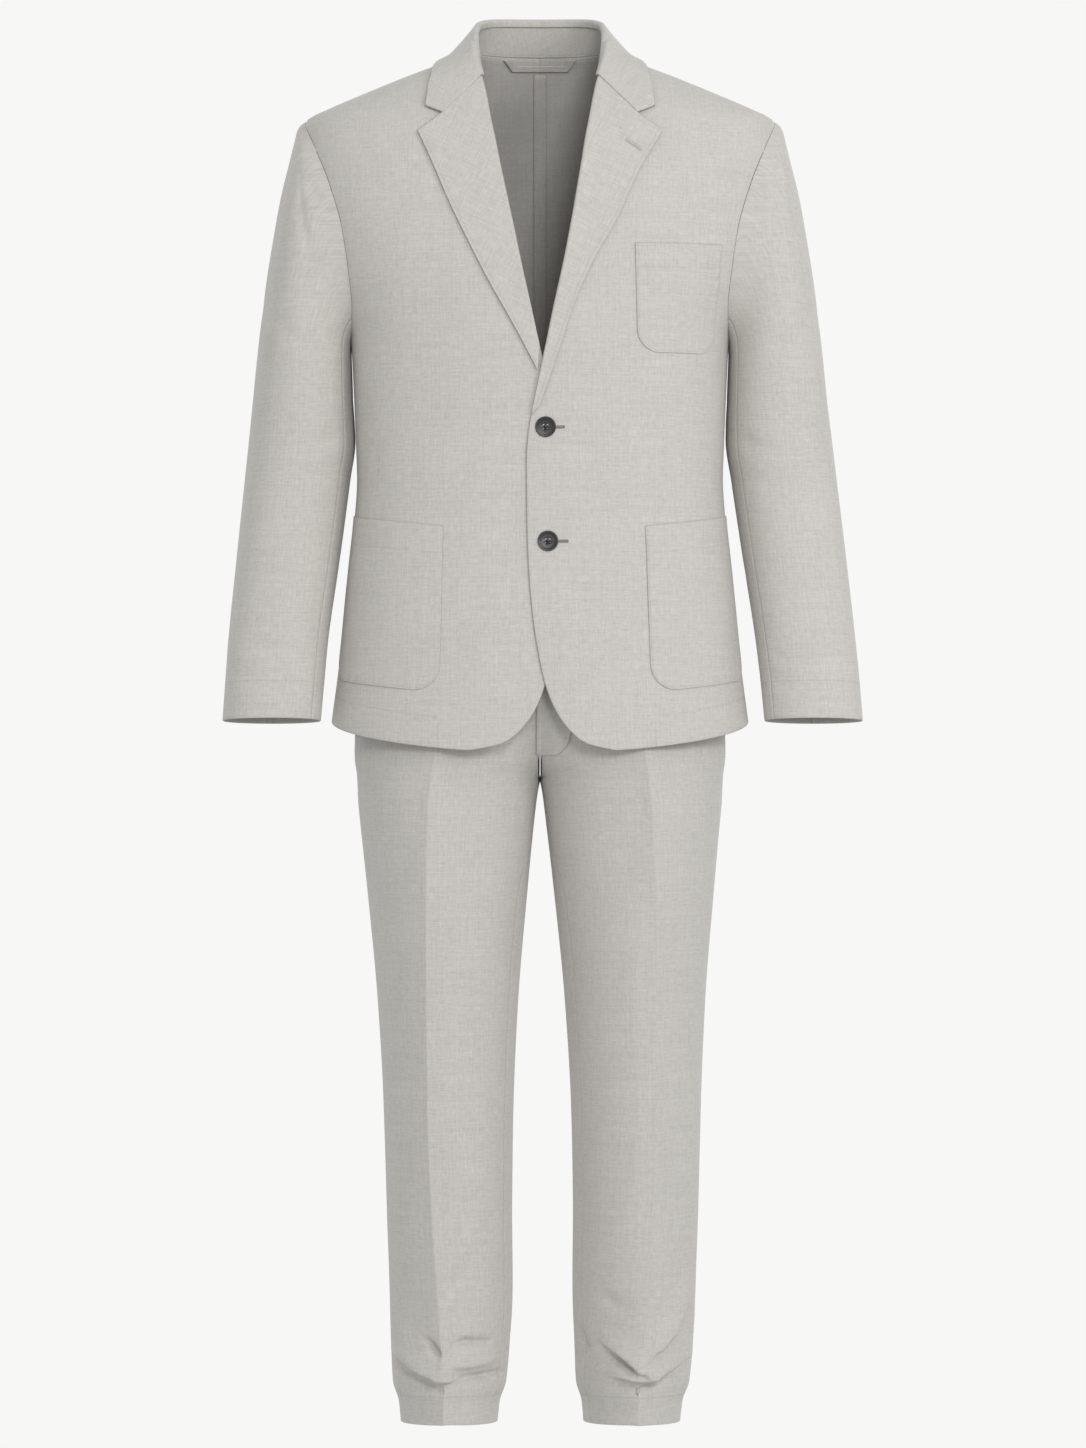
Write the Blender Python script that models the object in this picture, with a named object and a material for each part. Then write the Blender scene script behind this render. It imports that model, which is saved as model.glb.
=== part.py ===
"""Linen suit, worn and hollow: an unlined two-button jacket with patch pockets over creased trousers.

Metres, +Z up, the front faces -Y and the wearer's left is +X.
The origin lies between the wearer's shoulders, level with the shoulder seams at the neck.
Each cloth piece is a closed wall through a grid of points on the surface that it is cut from.
Grids are made for the wearer's left, with x counted outward, and mirrored for the right.
"""

import math

import bmesh
import bpy
import numpy as np

# Cloth and sewing
CLOTH = 0.0016          # thickness of a single wall
DOUBLE = 0.0020         # thickness of lapel, collar and waistband, which are cloth on cloth
SEAM = 0.0002           # how far each piece keeps back from a seam line
REST = 0.0006           # space under a piece that lies on a panel
LAP_LIFT = 0.0011       # how far the left front rises, and the right one sinks, where they overlap
LAP_WIDTH = 0.055

# Jacket
NECK_SEAM = 0.0100
ARM_MIDDLE = -0.1865    # height of the middle of the armhole
ARM_TALL = 0.1185       # half of its height
ARM_FRONT = 0.078       # how far it reaches forward and back
ARM_BACK = 0.085
ARM_STEP = 18           # degrees round the armhole from one row of the panels to the next
SIDE_TURN = math.radians(9)
ROLL_GAP = 0.0048       # the panel stops this far short of the roll, inside the lapel
ROLL_LIFT = 0.0022      # how much the lapel stands off where it rolls
GORGE = (0.0606, -0.0305)
NOTCH = (0.1020, -0.0715)
LAPEL_PEAK = (0.1277, -0.0908)
COLLAR_POINT = (0.1205, -0.0635)
STAND_SHORT = 0.0085    # the seam between stand and fall runs this far below the fold
BUTTONS = {"button_top": (0.0059, -0.4027), "button_bottom": (0.0083, -0.5216)}   # across and height
BUTTON_RADIUS = 0.0108
HOLE_PLACE = 0.0021     # each hole's distance from the middle, sideways and up
HOLE_RADIUS = 0.0009
CUFF = (-0.7045, -0.7110)
LOOP = ((0.0405, 0.0090), (0.0305, -0.0035), (0.0290, 0.0090), (0.0265, 0.0035))
TAPE_HALF = 0.0070

# Trousers
WAIST = (-0.4980, -0.5360)
CROTCH = -0.7660
HEM = (-1.4517, -1.4570)
LEG_OUTSEAM = math.radians(15)
FLY = (-0.0035, 0.0360)

LINEN = ("linen", (0.503, 0.491, 0.468, 1), 0.9)
HORN = ("horn", (0.020, 0.020, 0.021, 1), 0.4)


def table(names, *rows):
    """The rows of a table as one array for each named column, heights rising."""
    return dict(zip(names.split(), np.array(rows[::-1], float).T))


TORSO = table(
    "height width front back square",
    (0.0100, 0.0800, 0.0600, 0.0750, 2.3),
    (-0.001, 0.0940, 0.0630, 0.0800, 2.4),
    (-0.010, 0.1120, 0.0655, 0.0830, 2.45),
    (-0.020, 0.1385, 0.0690, 0.0870, 2.5),
    (-0.042, 0.1920, 0.0800, 0.0950, 2.6),
    (-0.059, 0.2305, 0.0890, 0.1020, 2.7),
    (-0.068, 0.2482, 0.0935, 0.1050, 2.7),
    (-0.080, 0.2530, 0.0995, 0.1090, 2.7),
    (-0.105, 0.2535, 0.1090, 0.1150, 2.7),
    (-0.140, 0.2490, 0.1180, 0.1210, 2.7),
    (-0.190, 0.2380, 0.1250, 0.1260, 2.6),
    (-0.235, 0.2240, 0.1285, 0.1265, 2.5),
    (-0.275, 0.2090, 0.1290, 0.1250, 2.4),
    (-0.300, 0.2020, 0.1290, 0.1230, 2.4),
    (-0.350, 0.1990, 0.1270, 0.1170, 2.4),
    (-0.410, 0.1965, 0.1240, 0.1110, 2.4),
    (-0.450, 0.1952, 0.1225, 0.1100, 2.4),
    (-0.495, 0.1980, 0.1220, 0.1130, 2.4),
    (-0.540, 0.2028, 0.1230, 0.1190, 2.4),
    (-0.580, 0.2070, 0.1245, 0.1250, 2.4),
    (-0.625, 0.2115, 0.1265, 0.1300, 2.4),
    (-0.665, 0.2165, 0.1285, 0.1320, 2.4),
    (-0.710, 0.2225, 0.1305, 0.1330, 2.4),
    (-0.740, 0.2262, 0.1320, 0.1335, 2.4),
)

# The free edge of the fronts: neck seam, roll line, front edge and rounded corner.
# "side" is the height at which a row ends on the shoulder or side seam; "closer" moves the right front's edge.
EDGE = table(
    "height across side closer",
    (0.0030, 0.0775, 0.0096, 0),
    (-0.012, 0.0712, -0.012, 0),
    (-0.0305, 0.0606, -0.0305, 0),
    (-0.050, 0.0560, -0.050, 0),
    (-0.079, 0.0507, -0.079, 0),
    (-0.100, 0.0467, -0.100, 0.0005),
    (-0.124, 0.0430, -0.124, 0.0015),
    (-0.2146, 0.0271, -0.2146, 0.0048),
    (-0.2906, 0.0108, -0.2906, 0.0050),
    (-0.3050, 0.0080, -0.3050, 0.0052),
    (-0.3448, -0.0003, -0.3400, 0.0062),
    (-0.3833, -0.0078, -0.3750, 0.0045),
    (-0.4062, -0.0122, -0.4000, 0.0015),
    (-0.4364, -0.0143, -0.4300, 0),
    (-0.4690, -0.0141, -0.4600, 0),
    (-0.5010, -0.0138, -0.4920, 0),
    (-0.5447, -0.0122, -0.5320, 0),
    (-0.5978, -0.0078, -0.5800, 0.0020),
    (-0.6447, -0.0005, -0.6220, 0.0080),
    (-0.6707, 0.0057, -0.6470, 0.0110),
    (-0.6967, 0.0161, -0.6690, 0.0110),
    (-0.7207, 0.0338, -0.6880, 0.0100),
    (-0.7321, 0.0505, -0.6980, 0.0090),
    (-0.7384, 0.0797, -0.7065, 0.0060),
)
FREE_ROWS = 10          # rows of the table from the bottom of the armhole down

# Outer edge of the lapels from the peak to the button
LAPEL_LEFT = table(
    "height across",
    (-0.0908, 0.1277),
    (-0.1380, 0.1010),
    (-0.1880, 0.0785),
    (-0.2270, 0.0560),
    (-0.2800, 0.0330),
    (-0.3130, 0.0225),
    (-0.3440, 0.0120),
    (-0.3780, -0.0005),
)
LAPEL_RIGHT = table(
    "height across",
    (-0.0908, 0.1277),
    (-0.1300, 0.1100),
    (-0.1620, 0.0965),
    (-0.2030, 0.0770),
    (-0.2480, 0.0540),
    (-0.2800, 0.0360),
    (-0.3050, 0.0220),
    (-0.3430, 0.0022),
)

# The collar at stations from the back centre round to the gorge: its fold, the seam below it and its outer edge
COLLAR = table(
    "station fold_x fold_y fold_z seam_x seam_y seam_z edge_x edge_y edge_z",
    (1.00, 0.0606, -0.070, -0.0305, 0.0606, -0.068, -0.0305, 0.1205, -0.070, -0.0635),
    (0.86, 0.0655, -0.052, -0.0040, 0.0712, -0.047, -0.0120, 0.1140, -0.045, -0.0350),
    (0.68, 0.0688, -0.016, 0.0260, 0.0790, -0.014, 0.0060, 0.1050, -0.006, -0.0100),
    (0.50, 0.0665, 0.022, 0.0400, 0.0775, 0.027, 0.0104, 0.1010, 0.036, 0.0000),
    (0.34, 0.0530, 0.050, 0.0478, 0.0610, 0.055, 0.0104, 0.0790, 0.066, 0.0020),
    (0.16, 0.0290, 0.066, 0.0503, 0.0320, 0.071, 0.0104, 0.0400, 0.080, 0.0030),
    (0.00, 0.0000, 0.070, 0.0507, 0.0000, 0.0752, 0.0104, 0.0000, 0.0850, 0.0030),
)

SLEEVE = table(
    "height outer inner front back sway",
    (-0.068, 0.2585, 0.1870, -0.0760, 0.0820, 0.0000),
    (-0.088, 0.2615, 0.1900, -0.0765, 0.0820, 0.0000),
    (-0.109, 0.2665, 0.1920, -0.0770, 0.0820, 0.0000),
    (-0.152, 0.2770, 0.1950, -0.0770, 0.0815, 0.0000),
    (-0.194, 0.2846, 0.1975, -0.0760, 0.0805, 0.0000),
    (-0.237, 0.2916, 0.1995, -0.0740, 0.0785, 0.0000),
    (-0.290, 0.2985, 0.2025, -0.0700, 0.0750, 0.0000),
    (-0.330, 0.3030, 0.2036, -0.0660, 0.0720, 0.0000),
    (-0.365, 0.3065, 0.2020, -0.0620, 0.0700, 0.0000),
    (-0.408, 0.3114, 0.2000, -0.0570, 0.0670, 0.0005),
    (-0.451, 0.3162, 0.2035, -0.0550, 0.0620, 0.0008),
    (-0.536, 0.3250, 0.2150, -0.0620, 0.0450, 0.0015),
    (-0.622, 0.3330, 0.2270, -0.0760, 0.0220, 0.0020),
    (-0.664, 0.3360, 0.2310, -0.0830, 0.0090, 0.0026),
    (-0.712, 0.3390, 0.2350, -0.0900, -0.0060, 0.0029),
)
CAP_ROWS = (0, 0.05, 0.13, 0.24, 0.38, 0.54, 0.76, 1)
ARM_ROWS = (-0.365, -0.400, -0.440, -0.485, -0.530, -0.575, -0.620, -0.665, -0.700)
CAP_END = -0.330
UNDER_SEAMS = (144, 270)  # degrees round from outward by way of the front, where the under piece is sewn

LEG = table(
    "height middle half front back crease sway",
    (-0.498, 0.0000, 0.1650, 0.1020, 0.1000, -88, 0.0000),
    (-0.536, 0.0030, 0.1690, 0.1050, 0.1040, -80, 0.0000),
    (-0.590, 0.0150, 0.1680, 0.1070, 0.1090, -72, 0.0000),
    (-0.640, 0.0330, 0.1580, 0.1060, 0.1110, -70, 0.0000),
    (-0.690, 0.0560, 0.1405, 0.1040, 0.1100, -72, 0.0000),
    (-0.725, 0.0760, 0.1215, 0.1020, 0.1080, -76, 0.0000),
    (-0.750, 0.0900, 0.1075, 0.1000, 0.1060, -80, 0.0000),
    (-0.766, 0.0967, 0.0985, 0.0985, 0.1050, -81, 0.0000),
    (-0.800, 0.0990, 0.0945, 0.0960, 0.1040, -80, 0.0000),
    (-0.899, 0.0995, 0.0844, 0.0890, 0.0930, -77, 0.0008),
    (-1.006, 0.0998, 0.0750, 0.0810, 0.0840, -75, 0.0016),
    (-1.113, 0.1000, 0.0695, 0.0760, 0.0780, -74, 0.0024),
    (-1.220, 0.0994, 0.0671, 0.0740, 0.0740, -76, 0.0027),
    (-1.326, 0.0975, 0.0655, 0.0730, 0.0710, -80, 0.0027),
    (-1.369, 0.0978, 0.0635, 0.0720, 0.0700, -83, 0.0022),
    (-1.412, 0.0977, 0.0605, 0.0690, 0.0690, -86, 0.0012),
    (-1.433, 0.0975, 0.0555, 0.0670, 0.0690, -85, 0.0007),
    (-1.457, 0.0974, 0.0535, 0.0665, 0.0690, -85, 0.0005),
)
LEG_ROWS = (-0.536, -0.575, -0.615, -0.655, -0.690, -0.720, -0.744, -0.7585, -0.766, -0.785, -0.830, -0.890, -0.960,
            -1.040, -1.120, -1.200, -1.260, -1.300, -1.328, -1.346, -1.360, -1.372, -1.384, -1.395, -1.407, -1.424,
            -1.452)

# Folds above the hems, each a ridge or trough between two places on the leg: degrees round it and height
FOLDS = {
    1: table(
        "from_turn from_height to_turn to_height width depth",
        (-128, -1.357, -78, -1.391, 0.0070, 0.0035),
        (-134, -1.370, -85, -1.394, 0.0080, -0.0035),
        (-121, -1.391, -80, -1.396, 0.0060, 0.0025),
        (-80, -1.396, -37, -1.384, 0.0060, 0.0025),
        (-114, -1.405, -64, -1.405, 0.0080, -0.0025),
        (-26, -1.286, -41, -1.336, 0.0080, 0.0025),
        (-41, -1.336, -78, -1.375, 0.0080, 0.0025),
        (120, -1.396, 60, -1.376, 0.0090, 0.0030),
        (110, -1.378, 70, -1.358, 0.0090, -0.0030),
        (200, -1.360, 160, -1.390, 0.0080, 0.0025),
    ),
    -1: table(
        "from_turn from_height to_turn to_height width depth",
        (-11, -1.374, -94, -1.398, 0.0070, 0.0035),
        (-24, -1.387, -88, -1.408, 0.0080, -0.0032),
        (-95, -1.363, -130, -1.363, 0.0080, -0.0032),
        (-88, -1.381, -139, -1.381, 0.0090, 0.0028),
        (-107, -1.400, -148, -1.399, 0.0070, -0.0025),
        (-21, -1.314, -47, -1.379, 0.0070, 0.0020),
        (-65, -1.359, -80, -1.374, 0.0070, -0.0020),
        (60, -1.394, 115, -1.376, 0.0090, 0.0030),
        (70, -1.378, 110, -1.360, 0.0090, -0.0030),
        (160, -1.364, 205, -1.390, 0.0080, 0.0025),
    ),
}


def curve(columns, name, at, over="height"):
    """A column of a table at other heights, by a cubic that keeps rises and falls where they are."""
    x = columns[over]
    y = columns[name]
    step = np.diff(x)
    rise = np.diff(y) / step
    slope = np.concatenate((rise[:1], np.zeros(len(x) - 2), rise[-1:]))
    same = rise[:-1] * rise[1:] > 0
    total = np.where(same, rise[:-1] + rise[1:], 1)
    slope[1:-1] = np.where(same, 2 * rise[:-1] * rise[1:] / total, 0)
    at = np.clip(at, x[0], x[-1])
    i = np.clip(np.searchsorted(x, at) - 1, 0, len(x) - 2)
    t = (at - x[i]) / step[i]
    start = (1 + 2 * t) * (1 - t) ** 2 * y[i] + t * (1 - t) ** 2 * step[i] * slope[i]
    end = t * t * (3 - 2 * t) * y[i + 1] - t * t * (1 - t) * step[i] * slope[i + 1]
    return start + end


def soft(value):
    """A smooth step from 0 to 1."""
    value = np.clip(value, 0, 1)
    return value * value * (3 - 2 * value)


def unit(vectors):
    """Vectors at length one."""
    return vectors / np.maximum(np.linalg.norm(vectors, axis=-1, keepdims=True), 1e-12)


def torso(turn, height):
    """The jacket's surface at an angle round it: 0 at the wearer's left, -90 degrees in front."""
    turn, height = np.broadcast_arrays(turn, height)
    square = curve(TORSO, "square", height)
    across, along = np.cos(turn), np.sin(turn)
    reach = (np.abs(across) ** square + np.abs(along) ** square) ** (-1 / square)
    depth = np.where(along < 0, curve(TORSO, "front", height), curve(TORSO, "back", height))
    return np.stack((curve(TORSO, "width", height) * reach * across, depth * reach * along, height), -1)


def torso_turn(height, x=None, y=None, face=-1):
    """The angle round the jacket of a point with a known x on that face, or a known y on the wearer's left."""
    square = curve(TORSO, "square", height)
    depth = curve(TORSO, "front" if face < 0 else "back", height)
    if y is None:
        across = np.clip(x / curve(TORSO, "width", height), -1, 1)
        along = (1 - np.abs(across) ** square) ** (1 / square)
    else:
        along = np.clip(y * face / depth, 0, 1)
        across = (1 - along ** square) ** (1 / square)
    return np.arctan2(face * along, across)


def fullness(points):
    """1 on the jacket's surface, less inside it and more outside."""
    x, y, z = np.moveaxis(points, -1, 0)
    square = curve(TORSO, "square", z)
    depth = np.where(y < 0, curve(TORSO, "front", z), curve(TORSO, "back", z))
    return (np.abs(x / curve(TORSO, "width", z)) ** square + np.abs(y / depth) ** square) ** (1 / square)


def torso_normal(points):
    """Outward direction of the jacket's surface, and how fast fullness grows along it."""
    nudge = 2e-5 * np.eye(3)
    slope = np.stack([(fullness(points + step) - fullness(points - step)) / 4e-5 for step in nudge], -1)
    return unit(slope), np.linalg.norm(slope, axis=-1)


def settle(points, lift, only_up=False):
    """Points moved square to the jacket's surface until they are that far out from it."""
    for _ in range(4):
        normal, growth = torso_normal(points)
        short = lift - (fullness(points) - 1) / growth
        if only_up:
            short = np.where(points[..., 2] > NECK_SEAM, 0, np.maximum(short, 0))
        points = points + normal * short[..., None]
    return points


def lap(x, side):
    """How far a front lies off the common surface where left passes over right."""
    return side * LAP_LIFT * soft((LAP_WIDTH - x) / (LAP_WIDTH - 0.022))


def on_front(x, height, lift, side):
    """Points at an x and height on one front, lifted off the panel."""
    points = torso(torso_turn(height, x=x), height)
    return settle(points, lift + lap(x, side))


def grid_normal(grid, wrap=False):
    """Directions square to a grid of points."""
    if wrap:
        padded = np.concatenate((grid[:, -1:], grid, grid[:, :1]), 1)
        across = (padded[:, 2:] - padded[:, :-2]) / 2
    else:
        across = np.gradient(grid, axis=1)
    return unit(np.cross(np.gradient(grid, axis=0), across))


def keep_back(grid, first_row=0.0, last_row=0.0, first_column=SEAM, last_column=SEAM):
    """The grid with its borders moved in from the seam lines."""
    grid = grid.copy()
    grid[0] += unit(grid[1] - grid[0]) * first_row
    grid[-1] += unit(grid[-2] - grid[-1]) * last_row
    grid[:, 0] += unit(grid[:, 1] - grid[:, 0]) * first_column
    grid[:, -1] += unit(grid[:, -2] - grid[:, -1]) * last_column
    return grid


def material(finish):
    """A plain finish of that colour and roughness."""
    name, colour, roughness = finish
    made = bpy.data.materials.new(name)
    made.use_nodes = True
    shader = made.node_tree.nodes["Principled BSDF"]
    shader.inputs["Base Color"].default_value = colour
    shader.inputs["Roughness"].default_value = roughness
    shader.inputs["Metallic"].default_value = 0
    made.diffuse_color = colour
    return made


def add_object(name, mesh, finish):
    """A named object with its own material, smooth round its curves."""
    made = bpy.data.objects.new(name, mesh)
    bpy.context.scene.collection.objects.link(made)
    mesh.materials.append(material((name + "_" + finish[0],) + finish[1:]))
    return made


def wall(name, outer, normal, thickness, side=1, closed=False):
    """A closed wall whose outer face is the grid and whose inner face lies the thickness inside it."""
    rows, count = outer.shape[:2]
    points = np.concatenate((outer.reshape(-1, 3), (outer - normal * thickness).reshape(-1, 3)))
    points[:, 0] *= side
    last = count if closed else count - 1
    number = np.arange(rows * count).reshape(rows, count)
    under = number + rows * count
    faces = []
    for r in range(rows - 1):
        for c in range(last):
            d = (c + 1) % count
            faces.append((number[r, c], number[r, d], number[r + 1, d], number[r + 1, c]))
            faces.append((under[r, c], under[r + 1, c], under[r + 1, d], under[r, d]))
    for c in range(last):
        d = (c + 1) % count
        faces.append((number[0, c], under[0, c], under[0, d], number[0, d]))
        faces.append((number[-1, c], number[-1, d], under[-1, d], under[-1, c]))
    if not closed:
        for r in range(rows - 1):
            faces.append((number[r, 0], number[r + 1, 0], under[r + 1, 0], under[r, 0]))
            faces.append((number[r, -1], under[r, -1], under[r + 1, -1], number[r + 1, -1]))
    mesh = bpy.data.meshes.new(name)
    mesh.from_pydata(points.tolist(), [], [tuple(int(v) for v in face) for face in faces])
    work = bmesh.new()
    work.from_mesh(mesh)
    bmesh.ops.triangulate(work, faces=work.faces[:])
    bmesh.ops.recalc_face_normals(work, faces=work.faces[:])
    for face in work.faces:
        face.smooth = True
    for edge in work.edges:
        edge.smooth = edge.calc_face_angle(0) < math.radians(50)
    work.to_mesh(mesh)
    work.free()
    return add_object(name, mesh, LINEN)


def body_rows():
    """Heights of the panel rows on the outer seams, the armhole's own among them."""
    turns = np.radians(np.arange(0, 181, ARM_STEP))
    arm = ARM_MIDDLE + ARM_TALL * np.cos(turns)
    edge = EDGE["side"][::-1]
    return np.concatenate((edge[:4], arm, edge[FREE_ROWS:]))


def edge_rows(side):
    """Heights and x of the front's free edge for the same rows."""
    heights = EDGE["height"][::-1]
    arm = body_rows()[4:15]
    height = np.concatenate((heights[:4], arm, heights[FREE_ROWS:]))
    across = curve(EDGE, "across", height)
    if side < 0:
        across = across - curve(EDGE, "closer", height)
    return height, across


def outer_turns(face):
    """Angles of the shoulder seam, armhole and side seam for the panel rows."""
    heights = body_rows()
    turns = np.radians(np.arange(0, 181, ARM_STEP))
    reach = (ARM_FRONT if face < 0 else ARM_BACK) * np.sin(turns)
    arm = torso_turn(heights[4:15], y=face * reach, face=face)
    below = SIDE_TURN * soft((heights[14] - heights[15:]) / 0.07)
    return np.concatenate((np.zeros(4), arm, below))


def jacket_front(side, name):
    """A front from the free edge to shoulder seam, armhole and side seam."""
    edge_height, across = edge_rows(side)
    inner = torso_turn(edge_height, x=across + np.where(edge_height > -0.39, ROLL_GAP, 0))
    fraction = np.linspace(0, 1, 10)[None]
    turn = inner[:, None] + (outer_turns(-1) - inner)[:, None] * fraction
    height = edge_height[:, None] + (body_rows() - edge_height)[:, None] * fraction
    points = torso(turn, height)
    points = settle(points, lap(points[..., 0], side))
    grid = keep_back(points, first_row=SEAM)
    return wall(name, grid, torso_normal(points)[0], CLOTH, side)


def jacket_back(side, name):
    """Half of the back from the centre seam out."""
    outer = outer_turns(1)
    fraction = np.linspace(0, 1, 8)[None]
    height = body_rows()
    points = torso(math.pi / 2 + (outer - math.pi / 2)[:, None] * fraction, height[:, None] + 0 * fraction)
    return wall(name, keep_back(points, first_row=SEAM), torso_normal(points)[0], CLOTH, side)


def gorge_line(stop, inner_steps, outer_steps):
    """Points from the roll along the gorge seam to the notch and on to a corner."""
    first = np.linspace(GORGE, NOTCH, inner_steps + 1)
    return np.concatenate((first, np.linspace(NOTCH, stop, outer_steps + 1)[1:]))


def lapel(side, name):
    """A lapel turned over the front, with the roll wrapped round the panel's edge."""
    outline = LAPEL_LEFT if side > 0 else LAPEL_RIGHT
    share = np.linspace(0, 1, 13)[:, None]
    end_height = outline["height"][0]
    roll_stop = -0.3720 if side > 0 else -0.3150
    roll_height = GORGE[1] + (roll_stop - GORGE[1]) * share
    roll_across = curve(EDGE, "across", roll_height)
    if side < 0:
        roll_across = roll_across - curve(EDGE, "closer", roll_height)
    edge_height = LAPEL_PEAK[1] + (end_height - LAPEL_PEAK[1]) * share
    edge_across = curve(outline, "across", edge_height)
    top = gorge_line(LAPEL_PEAK, 3, 2)
    reach = np.concatenate(([0], np.cumsum(np.linalg.norm(np.diff(top, axis=0), axis=1))))
    fraction = (reach / reach[-1])[None]
    bend = top - (top[:1] + (top[-1:] - top[:1]) * fraction.T)
    across = roll_across + (edge_across - roll_across) * fraction + bend[:, 0] * (1 - share) ** 2
    height = roll_height + (edge_height - roll_height) * fraction + bend[:, 1] * (1 - share) ** 2
    rolled = ROLL_LIFT * (1 - fraction) ** 2 * soft((1.02 - share) / 0.3)
    face = on_front(across, height, DOUBLE + REST + rolled, side)
    under = on_front(across[:, :1], height[:, :1], -0.0012, side)
    grid = np.concatenate((under, face), 1)
    kept = keep_back(grid, first_row=SEAM, first_column=0, last_column=0)
    return wall(name, kept, grid_normal(grid), DOUBLE, side)


def collar_point(kind, station):
    """Places on one line of the collar."""
    return np.stack([curve(COLLAR, f"{kind}_{axis}", station, over="station") for axis in "xyz"], -1)


def mirrored(half):
    """A whole piece from its left half, right end first, sharing the back centre."""
    return np.concatenate((half[::-1] * (-1, 1, 1), half[1:]))


def collar(fall_name, stand_name):
    """The stand from the neck seam up, and the fall over the fold and down to its outer edge."""
    station = np.linspace(0, 1, 15)
    fold = collar_point("fold", station)
    seam = collar_point("seam", station)
    edge = settle(collar_point("edge", station), DOUBLE + REST)
    end = gorge_line(COLLAR_POINT, 3, 1)
    end = settle(torso(torso_turn(end[:, 1], x=end[:, 0]), end[:, 1]), DOUBLE + REST)
    reach = np.concatenate(([0], np.cumsum(np.linalg.norm(np.diff(end, axis=0), axis=1))))
    fraction = (reach / reach[-1])[None, :, None]
    end[0] = settle(end[0], DOUBLE + REST + ROLL_LIFT)
    fold[-1] = end[0]
    edge[-1] = end[-1]
    bend = end - (end[0] + (end[-1] - end[0]) * fraction[0])
    fade = soft((station - 0.6) / 0.4)[:, None, None]
    fall = fold[:, None] + (edge - fold)[:, None] * fraction + bend[None] * fade
    fall = settle(fall, DOUBLE + REST + ROLL_LIFT * (1 - fraction[..., 0]) ** 2, only_up=True)
    down = seam - fold
    length = np.linalg.norm(down, axis=-1, keepdims=True)
    size = np.minimum(length / 0.02, 1)
    inward = unit(fold * (-1, -1, 0)) * size
    lip = fold + inward * 0.0030 + unit(down) * 0.0022 * size
    join = fold + inward * 0.0034 + unit(down) * np.minimum(STAND_SHORT, 0.45 * length)
    keep = 13
    stand_top = join[:keep] + unit(down[:keep]) * 2 * SEAM
    foot = seam[:keep] + (0, 0, 2 * SEAM)
    share = np.linspace(0, 1, 4)[None, :, None]
    stand = stand_top[:, None] + (foot - stand_top)[:, None] * share
    whole = mirrored(np.concatenate((join[:, None], lip[:, None], fall), 1))
    trimmed = keep_back(whole, first_row=2 * SEAM, last_row=2 * SEAM, first_column=0, last_column=0)
    wall(fall_name, trimmed, -grid_normal(whole), DOUBLE)
    whole = mirrored(stand)
    wall(stand_name, whole, -grid_normal(whole), DOUBLE)


def sleeve_point(drop, turn, height, side):
    """A point of a sleeve: how far under its own seam point, its angle, its height and its side."""
    start_height = ARM_MIDDLE + ARM_TALL * np.cos(turn)
    reach = np.where(np.sin(turn) > 0, -ARM_FRONT, ARM_BACK) * np.abs(np.sin(turn))
    ahead = torso_turn(start_height, y=reach, face=-1)
    behind = torso_turn(start_height, y=reach, face=1)
    start = torso(np.where(reach < 0, ahead, behind), start_height)
    outer = curve(SLEEVE, "outer", height)
    inner = curve(SLEEVE, "inner", height)
    near = curve(SLEEVE, "front", height)
    far = curve(SLEEVE, "back", height)
    across, along = np.cos(turn), -np.sin(turn)
    round_by = (np.abs(across) ** 2.15 + np.abs(along) ** 2.15) ** (-1 / 2.15)
    x = (outer + inner) / 2 + (outer - inner) / 2 * round_by * across + side * curve(SLEEVE, "sway", height)
    y = (near + far) / 2 + (far - near) / 2 * round_by * along
    leave = 1 - np.exp(-drop / (0.004 + 0.010 * np.sin(turn / 2) ** 2))
    leave = np.where(drop > 0.1, 1, leave)
    return start[..., :2] + (np.stack((x, y), -1) - start[..., :2]) * leave[..., None]


def sleeve(side, word):
    """A sleeve in its two pieces, from the armhole to the cuff."""
    turn = np.radians(np.arange(0, 360, ARM_STEP))[None]
    top = ARM_MIDDLE + ARM_TALL * np.cos(turn)
    cap = np.array(CAP_ROWS)[:, None]
    height = top + (CAP_END - top) * cap
    low = np.array(ARM_ROWS)[:, None] + 0 * turn
    cuff = (CUFF[0] + CUFF[1]) / 2 + (CUFF[0] - CUFF[1]) / 2 * np.sin(turn)
    height = np.concatenate((height, low, cuff))
    drop = top - height
    place = sleeve_point(drop, turn + 0 * height, height, side)
    points = np.concatenate((place, height[..., None]), -1)
    normal = -grid_normal(points, wrap=True)
    under_from, under_to = UNDER_SEAMS[0] // ARM_STEP, UNDER_SEAMS[1] // ARM_STEP
    ring = np.arange(under_to, under_from + 360 // ARM_STEP + 1) % (360 // ARM_STEP)
    for part, columns in (("top", ring), ("under", np.arange(under_from, under_to + 1))):
        grid = keep_back(points[:, columns], first_row=3 * SEAM)
        wall(f"sleeve_{word}_{part}", grid, normal[:, columns], CLOTH, side)


def patch_outline(rows, count, tall, radius, wide):
    """Fractions down and across a patch with two round lower corners."""
    straight = 1 - radius / tall
    corner = 1 - radius / tall * np.array((0.62, 0.32, 0.1, 0))
    down = np.concatenate((np.linspace(0, straight, rows - 4), corner))
    low = np.clip(down - straight, 0, 1) * tall
    inset = radius - np.sqrt(np.maximum(radius ** 2 - low ** 2, 0))
    across = np.linspace(0, 1, count)[None] * (1 - 2 * inset[:, None] / wide) + inset[:, None] / wide
    return down[:, None] + 0 * across, across


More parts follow.
